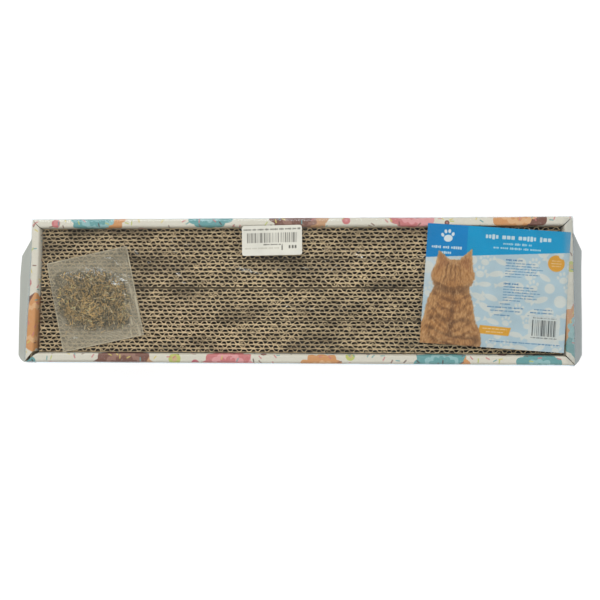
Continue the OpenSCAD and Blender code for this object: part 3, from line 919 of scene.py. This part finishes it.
def animal_ink(ink, u, v, base):
    """A sitting tabby animal seen from behind, painted fur by fur."""
    high = v - base
    spine = u + 35 - 1.8 * np.sin(high / 22)
    fuzz = 0.9 * noise(u / 0.9, v / 2.2, 7) + 0.6 * noise(u / 0.5, v / 0.9, 8)
    body = disc(u, high, -35.5, 21, 20.0, 34.0)
    haunch = np.minimum(disc(u, high, -46.0, 5, 14.5, 18), disc(u, high, -23.5, 4, 15.0, 18))
    head = disc(u, high, -34.6, 56, 17.4, 13.2)
    left_ear = wedge(u, high, [(-49.5, 56.0), (-36.5, 66.5), (-46.8, 75.5)])
    right_ear = wedge(u, high, [(-32.0, 66.5), (-19.2, 57.5), (-21.0, 77.5)])
    ears = np.minimum(left_ear, right_ear) - 0.7
    shape = soft_join(soft_join(soft_join(body, haunch, 1.8), head, 1.5), ears, 0.8) + fuzz * 0.42
    coat = plain_ink(u, (178, 126, 76))

    def dye(share, colour):
        lay(coat, share, colour)

    dye(0.5 * np.clip(0.4 + noise(u / 6, v / 9, 12), 0, 1), (204, 156, 104))
    dye(ramp(-24, -6, u) * 0.3 + ramp(12, 0, high) * 0.25, (120, 84, 56))
    # stripes that curve down from the spine, its dark line, and marks on the head
    on_back = ramp(47, 42, high)
    rib = np.sin((high - 0.62 * np.abs(spine)) * 0.8 + 1.5 * noise(u / 7, v / 9, 9))
    broken = np.clip(0.75 + 0.6 * noise(u / 4, v / 4, 15), 0, 1)
    dye(ramp(0.0, 0.9, rib) * 0.55 * broken * on_back * ramp(22, 14, np.abs(spine)), (108, 70, 42))
    dye(ramp(3.0, 0.8, np.abs(spine)) * 0.5 * on_back, (104, 68, 42))
    for at in (-6.0, -2.1, 2.1, 6.0):
        mark = np.abs(u + 34.6 - at * (1 - 0.02 * (high - 56)))
        dye(ramp(1.3, 0.3, mark) * ramp(50, 58, high) * ramp(69, 64, high) * 0.5, (112, 74, 44))
    ring = np.sin(np.hypot(spine * 0.9, high - 70) * 0.85 + noise(u / 6, v / 6, 13))
    dye(ramp(0.35, 0.9, ring) * ramp(56, 50, high) * ramp(40, 46, high) * 0.4, (112, 74, 44))
    # shadow under the head, folds of the haunches, backs of the ears
    dye(ramp(5.0, 0, np.abs(head + 0.4)) * ramp(52, 46, high) * 0.5, (88, 60, 40))
    dye(ramp(2.6, 0, np.abs(haunch + 1.0)) * 0.42 * ramp(-1, -5, body), (92, 62, 40))
    dye(covered(ears + 1.8, 2.5) * 0.45, (150, 98, 66))
    dye(ramp(1.8, 0.2, np.abs(ears)) * ramp(60, 66, high) * 0.4, (214, 172, 126))
    tail = bar(u, high - 0.011 * (u + 24) ** 2, -32.0, 2.6, 18.0, 2.5, corner=2.5) + fuzz * 0.5
    dye(ramp(4.2, 0.2, tail) * 0.42, (84, 58, 38))
    dye(covered(tail, 1.4), (180, 130, 82))
    dye(covered(tail, 1.4) * ramp(0.1, 1.0, np.sin(u * 0.8 + noise(u / 4, v / 3, 14))) * 0.34, (126, 86, 54))
    # single furs
    across = u + 0.22 * np.clip(spine / 18, -1, 1) * (high - 30)
    fur = noise(across / 0.5, v / 1.5, 10) * 0.55 + noise(across / 1.1, v / 2.9, 11) * 0.4
    fur = fur + 0.45 * rough(u / 6, v / 6, 16)
    dye(np.clip(fur, 0, 1) * 0.62, (232, 188, 134))
    dye(np.clip(-fur, 0, 1) * 0.62, (98, 66, 42))
    dye(ramp(-3.5, 0, shape) * 0.3, (206, 166, 122))
    lay(ink, covered(shape, 0.7), coat)


def add_card(paper):
    width, place, height = card_frame()
    u, v = paper_grid(CARD_LENGTH, width, CARD_CELL, CARD_STEP)
    x, y = place(u, v)
    wave = 0.16 * (1 + noise(x / 24, y / 24, 60)) * ramp(0.2, 3.0, RIM_Z - height(x, y))
    add_paper(("printed_card", "label_card", "label_card"), paper, x, y, height(x, y) + wave, CARD_THICK,
              card_ink(u, v, width / 2), CARD_BACK, CARD_STEP)


# Price sticker, which bends with the film

STICKER = (50.0, 25.0)
STICKER_TURN = math.radians(1.0)
STICKER_RADIUS, STICKER_THICK = 2.0, 0.13
STICKER_CELL, STICKER_STEP = 0.25, 10
STICKER_DARK = (74, 72, 66)


def sticker_ink(u, v):
    ink = plain_ink(u, (228, 226, 213))
    word_bars(ink, u, v, -23.6, 9.0, 47.2, 1.5, STICKER_DARK, 5, 0.6, 0.7)
    stripe_block(ink, u, v, 0, 2.2, 41.5, 8.2, STICKER_DARK, 9, 0.3)
    word_bars(ink, u, v, -7.0, -3.5, 16, 1.1, STICKER_DARK, 14, 0.0, 0.75)
    word_bars(ink, u, v, -22.6, -6.6, 28, 1.3, (196, 192, 176), 18, 0.4, 0.8)
    for cx, level, half_x, half_y in ((8.4, -6.2, 0.5, 2.0), (14.6, -5.6, 0.7, 1.3), (17.2, -5.6, 0.75, 1.3),
                                      (19.6, -5.6, 0.75, 1.3)):
        lay(ink, covered(bar(u, v, cx, level, half_x, half_y, corner=0.3)) * 0.8, STICKER_DARK)
    return ink


def add_sticker(paper):
    low, high = cad_box("price_sticker")
    half_u, half_v = STICKER[0] / 2, STICKER[1] / 2
    u, v = paper_grid(*STICKER, STICKER_CELL, STICKER_STEP)
    # the corners are rounded by drawing the grid's lines in towards the middle there
    du = np.maximum(STICKER_RADIUS - (half_v - np.abs(v)), 0)
    pull = STICKER_RADIUS - np.sqrt(np.maximum(STICKER_RADIUS ** 2 - du ** 2, 0))
    u = u * (half_u - pull) / half_u
    x, y = turned(u, v, STICKER_TURN)
    x, y = x + (low[0] + high[0]) / 2, y + (low[1] + high[1]) / 2
    lift = 0.08 * (1 + noise(u / 9, v / 9, 23)) + film_lift(x, y)
    add_paper(("paper_sticker", "price_sticker", "sticker_paper"), paper, x, y, low[2] + 0.02 + lift,
              STICKER_THICK, sticker_ink(u, v), (220, 218, 206), STICKER_STEP)


# Sachet and catnip. The sachet's own plane has its middle at 0, 0.

BAG_U, BAG_V = 35.25, 38.5
SACHET_TURN = math.radians(12.3)
SACHET_LEFT_GAP, SACHET_FRONT_GAP = 5.1, 0.7
SACHET_BASE = PAD_TOP + SEAT_GAP
SACHET_FULL = 4.1
SIDE_SEAL, TOP_SEAL, BOTTOM_SEAL = 3.2, 6.0, 9.0
SEAL_END = BOTTOM_SEAL - BAG_V
BAG_LINES = (141, 153)
# folds of the bag: two ends, height and half width
FOLDS = [
    (13, 31, 21, 29.5, 0.35, 0.9), (21, 27.5, 27, 22, 0.4, 1.0), (25, 16.5, 32, 12, 0.4, 1.0),
    (-29, -27, -19, -31, 0.4, 1.0), (14, -28.2, 31, -27.2, 0.45, 0.9), (28, 6, 31, -24, 0.35, 0.9),
    (-31, 25, -16, 27, 0.3, 1.0), (24, 8, 31, 4, 0.25, 1.2), (-32, 4, -31, -20, 0.3, 0.9),
]


def film_shader(tree, haze_colour, far_colour, gloss, wrinkle_mm, sealed=False):
    """A clear film with haze, fine wrinkles and a hard gloss. It holds two flat coordinates and the haze."""
    held = attribute(tree, "film")
    haze = axis(held, 2)
    place = object_place(tree)
    crease = node(tree, "TexVoronoi", {"Vector": place, "Scale": 0.11, "Randomness": 1.0}, "Distance",
                  feature="DISTANCE_TO_EDGE")
    height = texture(stretched(place, 0.12, 0.16, 0.16), 1.0, 3.0, 0.5)
    height = height + spread(crease, 0.0, 0.09, 1.0, 0.0) * 0.13
    if sealed:
        down = axis(held, 1)
        ribs = (down * 4.6).maths("SINE") * spread(down, SEAL_END + 1.5, SEAL_END)
        height = height + texture(place, 0.42, 2.0, 0.5) * 0.06 + ribs * 0.06
        haze = haze + ribs * 0.07
    patchy = haze * spread(texture(place, 0.045, 3.0, 0.6), 0.3, 0.72, 0.5, 1.5)
    haze = mix(spread(haze, 0.5, 0.7), patchy, haze)
    normal = bump(height, 1.0, wrinkle_mm)
    # the haze turns from haze_colour to far_colour towards the right end: darker and bluer there, as painted
    # shade
    tint = blend(spread(axis(place, 0), -150, 230), haze_colour, far_colour)
    milk = node(tree, "BsdfDiffuse", {"Color": tint, "Normal": normal})
    clear = node(tree, "BsdfTransparent", {"Color": (0.97, 0.98, 0.98, 1)})
    shine = node(tree, "BsdfGlossy", {"Color": (0.82, 0.93, 1.0, 1), "Roughness": gloss, "Normal": normal})
    facing = node(tree, "LayerWeight", {"Blend": 0.5, "Normal": normal}, "Facing")
    body = node(tree, "MixShader", {0: haze, 1: clear, 2: milk})
    return node(tree, "MixShader", {0: facing.maths("POWER", 5.0) * 0.9 + 0.028, 1: body, 2: shine})


def sachet_place(u, v):
    """Where a point of the sachet's own plane lies on the pads."""
    c, s = turned(1, 0, SACHET_TURN)
    x, y = turned(u, v, SACHET_TURN)
    return (x + BAG_U * c + BAG_V * s + SACHET_LEFT_GAP - INNER_X,
            y + BAG_V * c + BAG_U * s + SACHET_FRONT_GAP - INNER_Y)


def heap_reach(u, v):
    """How far out of the heap of catnip, and of the bits strewn beside it, a point is: under 1 inside."""
    a, b = turned(u, v, SACHET_TURN)
    q = np.abs((a - 0.5) / 31.5) ** 2.8 + np.abs((b + 1.0) / 24.5) ** 2.8
    return q + 0.7 * ramp(2, 26, a) * ramp(2, 22, b), np.hypot((a + 26) / 11, (b - 16) / 9)


def catnip_share(u, v):
    """1 where the catnip lies, 0 outside its ragged heap and the bits strewn beside it."""
    heap, beside = heap_reach(u, v)
    heap = heap + 0.5 * rough(u / 6, v / 6, 71)
    return np.maximum(ramp(1.3, 0.5, heap), 0.45 * ramp(1.2, 0.3, beside))


def sachet_top(u, v):
    """Height of the sachet's upper film over its underside."""
    half_u = BAG_U - SIDE_SEAL
    across = np.clip(1 - (np.abs(u) / half_u) ** 2.4, 0, 1) ** 0.62
    t = np.clip((v - SEAL_END) / (BAG_V - TOP_SEAL - SEAL_END) * 2 - 1, -1, 1)
    fill = across * np.clip(1 - np.abs(t) ** 2.6, 0, 1) ** 0.6
    heap = 0.35 + 0.65 * ramp(1.9, 0.1, heap_reach(u, v)[0])
    body = fill * (SACHET_FULL - 0.75) * heap * (0.88 + 0.12 * noise(u / 8, v / 8, 81))
    fold = 0.1 * rough(u / 3.4, v / 5.1, 85)
    # pleats that run in from the corners
    for side, end, count in ((-1, 1, 5.0), (1, 1, 7.0), (1, -1, 6.0), (-1, -1, 5.0)):
        du, dv = u - side * half_u, v - end * (BAG_V - 5)
        pleat = noise(np.arctan2(dv, du) * count, 0.5, 90 + int(count))
        fold = fold + 0.2 * pleat * np.exp(-np.hypot(du, dv) / 17)
    return 0.32 + body + fill * fold + ridge_height(u, v, FOLDS)


def add_sachet(film):
    u, v = grid((-BAG_U, BAG_U, BAG_LINES[0]), (-BAG_V, BAG_V, BAG_LINES[1]))
    x, y = sachet_place(u, v)
    side = ramp(BAG_U - SIDE_SEAL - 1.5, BAG_U - SIDE_SEAL, np.abs(u))
    above = ramp(BAG_V - TOP_SEAL - 1.2, BAG_V - TOP_SEAL, v)
    below = ramp(SEAL_END + 1.2, SEAL_END, v)
    seal = np.maximum(np.maximum(side, above), below)
    # seals ripple a little and curl up at the corners
    ripple = seal * (0.14 * (1 + noise(u / 7, v / 7, 66)) + 0.1 * ramp(30, 38, np.abs(v)))
    # a paler outline along the bag's edges and pale streaks near its right side: extra haze as painted
    # highlights on the film's edges and folds
    border = ramp(1.3, 0.2, np.minimum(BAG_U - np.abs(u), BAG_V - np.abs(v)))
    fold_highlight = ramp(17, 30, u) * np.clip(1.6 * noise(u / 1.3, v / 12, 67) - 0.2, 0, 1)
    haze = 0.26 - 0.22 * catnip_share(u, v) - 0.05 * seal + 0.06 * below + 0.34 * border + 0.36 * fold_highlight
    shape = Shape()
    low = SACHET_BASE + ripple
    shape.add_sheet(spots(x, y, low + sachet_top(u, v)), spots(x, y, low + 0.05),
                    values=[spots(u, v, haze)] * 2)
    shape.make("sachet_film", "sachet_bag", "sachet_film", [film], "film", 60)


FLAKE = np.array([(1, 0, 0), (0.1, 0.9, 0.1), (-1, 0.2, 0), (-0.2, -1, 0), (0, 0, 1), (0.1, 0, -1)], float)
FLAKE_FACES = [(0, 1, 4), (1, 2, 4), (2, 3, 4), (3, 0, 4), (1, 0, 5), (2, 1, 5), (3, 2, 5), (0, 3, 5)]
FLAKE_SIZES = ((0.5, 1.7), (0.35, 1.1), (0.1, 0.3))
STEM = np.array([(-1, -1, -1), (-1, 1, -1), (-1, 0, 1), (0, -0.8, -0.4), (0, 1.2, -0.4), (0, 0.2, 1.4),
                 (1, -0.6, -1), (1, 0.7, -1), (1, 0, 0.6)], float)
STEM_FACES = [(0, 2, 1), (6, 7, 8), (0, 1, 4, 3), (1, 2, 5, 4), (2, 0, 3, 5), (3, 4, 7, 6), (4, 5, 8, 7),
              (5, 3, 6, 8)]
STEM_SIZES = ((1.0, 3.6), (0.15, 0.34), (0.12, 0.24))
# the core's colour is dark as painted shade between the bits
FLAKE_COUNT, STEM_COUNT, SHADED_CORE_COLOUR = 5200, 850, (68, 59, 42)
# colours of the bits and their shares
LEAVES = (((96, 86, 62), 0.22), ((136, 122, 94), 0.22), ((62, 55, 40), 0.18), ((166, 149, 116), 0.16),
          ((190, 158, 108), 0.12), ((112, 104, 80), 0.10))
STEMS = (((228, 188, 124), 0.3), ((204, 166, 108), 0.25), ((234, 188, 114), 0.2), ((172, 142, 94), 0.15),
         ((244, 216, 166), 0.1))


def add_bits(shape, random, count, template, faces, sizes, kinds, lowest, highest, stray):
    """Many small bits of dried leaf or stem, each closed and turned its own way, inside the sachet."""
    u = random.uniform(-31.2, 31.2, count * 4)
    v = random.uniform(-29.0, 31.5, count * 4)
    keep = random.rand(count * 4) < catnip_share(u, v) ** 1.2 + stray
    u, v = u[keep][:count], v[keep][:count]
    n = len(u)
    room = np.maximum(sachet_top(u, v) - 0.6, 0.1)
    height = SACHET_BASE + 0.35 + room * random.uniform(lowest, highest, n)
    turn, tilt, roll = random.uniform(0, 6.283, n), random.normal(0, 0.3, n), random.uniform(-0.6, 0.6, n)
    scale = np.stack([random.uniform(*size, n) for size in sizes], 1)
    shrink = np.minimum(1, (0.4 + room) / (scale[:, 0] * np.abs(np.sin(tilt)) + scale[:, 1] * 0.6 + 1e-6))
    points = template * (scale * np.clip(shrink, 0.35, 1)[:, None])[:, None, :]
    x, y, z = np.moveaxis(points * random.uniform(0.8, 1.2, points.shape), -1, 0)
    y, z = turned(y, z, roll[:, None])
    x, z = turned(x, z, tilt[:, None])
    x, y = turned(x, y, turn[:, None])
    px, py = sachet_place(u, v)
    low, high = SACHET_BASE + 0.12, (SACHET_BASE + sachet_top(u, v) - 0.1)[:, None]
    z = np.clip(z + height[:, None], low, np.maximum(high, low + 0.1))
    colours, weights = zip(*kinds)
    picked = random.choice(len(colours), n, p=weights)
    clump = (1 + 0.22 * rough(u / 4.5, v / 4.5, 72))[:, None]
    tint = to_linear(np.array(colours, float)[picked] * random.uniform(0.85, 1.15, (n, 1)) * clump)
    listed = [tuple(k * len(template) + i for i in f) for k in range(n) for f in faces]
    shape.add(spots(x + px[:, None], y + py[:, None], z), listed, 0, np.repeat(tint, len(template), axis=0))


def add_core(shape, cells, top, under, colour):
    """The kept cells of a grid as one closed plate."""
    rows = cells.shape[1] + 1
    n = (cells.shape[0] + 1) * rows
    cells = np.pad(cells, 1)
    faces = []
    for i, j in np.argwhere(cells) - 1:
        a, b, c, d = i * rows + j, (i + 1) * rows + j, (i + 1) * rows + j + 1, i * rows + j + 1
        faces += [(a, b, c, d), (n + d, n + c, n + b, n + a)]
        for p, q, di, dj in ((a, b, 0, -1), (b, c, 1, 0), (c, d, 0, 1), (d, a, -1, 0)):
            if not cells[i + di + 1, j + dj + 1]:
                faces.append((q, p, n + p, n + q))
    used = sorted({i for f in faces for i in f})
    new = {old: k for k, old in enumerate(used)}
    points = np.concatenate([top.reshape(-1, 3), under.reshape(-1, 3)])
    shape.add(points[used], [[new[i] for i in f] for f in faces], 0, to_linear(colour))


def add_catnip(leaf):
    random = np.random.RandomState(8)
    shape = Shape()
    # a lumpy core under the loose bits, coloured dark as painted shade in the gaps between them
    u, v = grid((-31.0, 31.0, 56), (-29.0, 31.0, 56))
    share = catnip_share(u, v)
    x, y = sachet_place(u, v)
    room = np.maximum(sachet_top(u, v) - 0.75, 0.05)
    rise = 0.16 + room * share * (0.62 + 0.2 * rough(u / 2.2, v / 2.2, 33))
    kept = share > 0.08
    add_core(shape, kept[:-1, :-1] & kept[1:, :-1] & kept[1:, 1:] & kept[:-1, 1:],
             spots(x, y, SACHET_BASE + rise), spots(x, y, SACHET_BASE + 0.1), SHADED_CORE_COLOUR)
    add_bits(shape, random, FLAKE_COUNT, FLAKE, FLAKE_FACES, FLAKE_SIZES, LEAVES, 0.45, 1.0, 0.0)
    add_bits(shape, random, STEM_COUNT, STEM, STEM_FACES, STEM_SIZES, STEMS, 0.85, 1.08, 0.008)
    shape.make("catnip_bits", "catnip", "catnip", [leaf], "ink", smooth=False)


def leaf_shader(tree):
    """Dried leaf with fine veins, in the colour that each bit has."""
    vein = texture(object_place(tree), 3.2, 4.0, 0.75)
    colour = blend(spread(vein, 0.35, 0.65, 0.0, 0.45), attribute(tree, "ink", "Color"), (86, 78, 58))
    return paper_like(colour, 0.85, bump(vein, 0.5, 0.2), 0.3)


# Shrink film

FILM_SIDE = 0.3
FILM_TOP = 40.9
FIN_Z = 24.25
FIN_HAZE, CLEAR_HAZE = 0.88, 0.06
FIN_HALF_THICK = 0.14
# lines of the film's mesh along the tray, over its top, down a side and in a fin
FILM_LINES = (431, 113, 11, 19)
# outline of each fin from front to back: place across the end, and reach from the end wall
FIN_OUTLINES = {
    -1: ((-60.8, 5.0), (-60.4, 8.8), (-58.2, 12.0), (-54.5, 14.1), (12.0, 14.8), (31.0, 13.6), (54.0, 0.8)),
    1: ((-61.0, 2.4), (-57.2, 6.1), (-51.8, 8.9), (20.0, 9.4), (34.0, 9.9), (55.0, 1.0)),
}
# how fast the film falls to its fin, as a power of the way that is left
FIN_DROP = 5.0
# ridges of the film on top: two ends, height and half width
RIDGES = [
    (-205, 57, -160, 55.5, 0.34, 1.5), (-186, 58.5, -150, 58.0, 0.28, 1.1), (-80, 58, -48, 57, 0.34, 1.2),
    (22, 57.5, 70, 56, 0.4, 1.3), (60, 56, 116, 58, 0.36, 1.2), (96, 55.5, 112, 53, 0.42, 1.2),
    (-108, 44, -100, 24, 0.5, 1.6), (-104, 20, -93, 2, 0.34, 1.8), (-168, -34, -158, -18, 0.42, 1.5),
    (-193, -40, -183, -46, 0.5, 1.4), (-140, 36, -132, 24, 0.4, 1.4), (-126, -6, -120, -26, 0.4, 1.6),
    (-60, 20, -20, 6, 0.3, 3.2), (-30, -12, 30, -22, 0.28, 3.6), (30, 34, 74, 18, 0.32, 3.4),
    (150, 40, 170, 58, 0.26, 1.0), (158, 38, 178, 56, 0.26, 0.9), (167, 37, 186, 54, 0.26, 0.9),
    (178, 36, 196, 52, 0.28, 1.0), (188, 35, 206, 50, 0.26, 0.9), (198, 40, 214, 54, 0.3, 1.0),
    (205, 56, 222, 40, 0.4, 1.2), (212, 10, 222, -8, 0.34, 1.3), (206, -40, 222, -56, 0.4, 1.4),
    (-222, 58, -208, 44, 0.4, 1.4), (-222, -58, -206, -46, 0.4, 1.5), (-150, -52, -90, -50, 0.26, 2.2),
    (-40, -56.5, 40, -57.5, 0.2, 1.4), (80, -56, 150, -57, 0.22, 1.4), (110, 4, 126, -30, 0.24, 2.0),
    (-126, 21.0, -119, 22.6, 0.5, 1.2), (-105, 39.4, -101, 42.8, 0.5, 1.1),
    (-108, 48.7, -104, 50.4, 0.45, 1.0), (-95, 36.0, -90, 36.8, 0.4, 1.2), (-53, 43.4, -48, 45.1, 0.4, 1.1),
]


def ridge_height(x, y, ridges):
    total = np.zeros(np.broadcast(x, y).shape)
    for x1, y1, x2, y2, height, half in ridges:
        length = math.hypot(x2 - x1, y2 - y1)
        along, across = turned(x - x1, y - y1, -math.atan2(y2 - y1, x2 - x1))
        across = across + 0.9 * noise(along / 7, x1, 47)
        ends = ramp(-2, length * 0.3, along) * ramp(length + 2, length * 0.7, along)
        total += height * ends * np.exp(-(across / half) ** 2)
    return total


def film_lift(x, y):
    """How far the film stands over its plain height, less over the pads and level round the sticker."""
    inside = ramp(INNER_X + 3, INNER_X - 16, np.abs(x)) * ramp(INNER_Y + 3, INNER_Y - 12, np.abs(y))
    sag = inside * (1 - ramp(92, 108, x)) * (0.5 + 0.25 * noise(x / 42, y / 30, 51))
    near_sticker = ramp(9, 0, np.maximum(np.abs(x + 20) - 25, np.abs(y - 41) - 12.5))
    wave = 0.1 * (1 + rough(x / 15, y / 12, 53)) + ridge_height(x, y, RIDGES)
    return (wave - sag) * (1 - near_sticker)


def film_ring():
    """One turn round the tray: over the top, down the front, under, up the back. Also its points on top."""
    radius = FOLD + FILM_SIDE
    half_y = TRAY_Y + FILM_SIDE
    inner, top = half_y - radius, FILM_TOP - radius
    flat = np.linspace(inner, -inner, FILM_LINES[1])
    side = np.linspace(top, radius, FILM_LINES[2])
    bend = np.radians(np.linspace(0, 90, 5))[1:-1]
    sine, cosine = radius * np.sin(bend), radius * np.cos(bend)
    ys = [flat, -inner - sine, 0 * side - half_y, -inner - cosine, flat[::-1], inner + sine,
          0 * side + half_y, inner + cosine]
    zs = [0 * flat + FILM_TOP, top + cosine, side, radius - sine, 0 * flat, radius - cosine,
          side[::-1], top + sine]
    return np.concatenate(ys), np.concatenate(zs), len(flat)


def add_film(film):
    ys, zs, across = film_ring()
    on_top = np.arange(len(ys)) < across
    half_y, end_x = TRAY_Y + FILM_SIDE, TRAY_X + FILM_SIDE
    body_x = np.linspace(-end_x, end_x, FILM_LINES[0])[:, None]
    x, y = np.broadcast_arrays(body_x, ys)
    z = np.maximum(zs + on_top * film_lift(x, y) * ramp(end_x, end_x - 3, np.abs(x)), 0)
    sided = (np.abs(y) > half_y - 0.01) | (~on_top & (zs > 1) & (zs < FILM_TOP - 0.5))
    x = x + ramp(0.3, 1, z / FILM_TOP) * bulge(x, y)
    y = y + sided * np.sign(y) * 0.14 * (1 + rough(x / 16, zs / 14, 57))
    wrap = spots(x, y, z)
    over_card = ramp(104, 112, body_x) * ramp(218, 214, body_x)
    # more haze over the right end, where the film gathers; its grey also darkens the right rim as painted
    # shade
    gathered_haze_and_shade = ramp(216, 222, body_x)
    veil = np.where(on_top, 0.013 - 0.009 * over_card + 0.22 * gathered_haze_and_shade, CLEAR_HAZE)
    # the fins, which flatten the film from the tray's ends outwards
    t = np.linspace(0, 1, FILM_LINES[3])[1:, None]
    left = (1 - t) ** FIN_DROP
    slope = np.clip((zs - FIN_Z) / (FILM_TOP - FIN_Z), -1, 1)
    flat_z = FIN_Z + FIN_HALF_THICK * np.sign(slope) * np.minimum(1, np.abs(slope) * 3)
    fin_veil = CLEAR_HAZE + (FIN_HAZE - CLEAR_HAZE) * ramp(0.5, 0.14, left) + 0 * ys
    fins = []
    for end in (-1, 1):
        places, reaches = np.array(FIN_OUTLINES[end]).T
        seam_y = np.interp(ys, [-half_y, half_y], [places[0], places[-1]])
        seam_x = end * (TRAY_X + np.interp(seam_y, places, reaches))
        seam_z = flat_z + t * 0.5 * noise(seam_y / 26, end, 62)
        x, y, z = wrap[0 if end < 0 else -1].T
        puff = (left - left ** 2) * noise(ys / 5.1, zs / 9.1 + end, 58)
        fins.append(spots(x + (seam_x - x) * t + end * puff, seam_y + (y - seam_y) * left,
                          np.maximum(seam_z + (z - seam_z) * left + puff, 0)))
    loops = np.concatenate([fins[0][::-1], wrap, fins[1]])
    haze = np.concatenate([fin_veil[::-1], veil, fin_veil])
    faces = sweep_faces(len(loops), len(ys), caps=False) + flat_caps(len(loops), len(ys), across)
    shape = Shape()
    shape.add(loops, faces, 0, spots(loops[..., 0], loops[..., 1], haze))
    shape.make("clear_wrap", "shrink_film", "shrink_film", [film], "film", 60)


add_camera()
add_floor()
add_light()
# face, dark fibres, cut edge and the dark of the cut edge: the face colours stand darker as painted shade,
# the edge colours for faces that look up paler as painted light
RAW = ((176, 158, 128), (150, 132, 104), (190, 172, 140), (160, 140, 110))
KRAFT = ((132, 109, 81), (84, 69, 51), (235, 209, 165), (212, 185, 144))
add_tray(material("printed_board", print_shader), material("raw_board", kraft_shader, *RAW))
add_strips(material("kraft_board", kraft_shader, *KRAFT))
add_card(material("glossy_card", paper_shader, 0.38, 0.02))
add_sachet(material("sachet_haze", film_shader, (212, 199, 172), (212, 199, 172), 0.12, 0.4, True))
add_catnip(material("dried_leaf", leaf_shader))
# a grey haze: partly the film's own milkiness, partly painted shade of what lies under the fins
add_film(material("film_haze", film_shader, (191, 194, 186), (184, 191, 190), 0.13, 0.35))
add_sticker(material("sticker_paper", paper_shader, 0.5, 0.06))
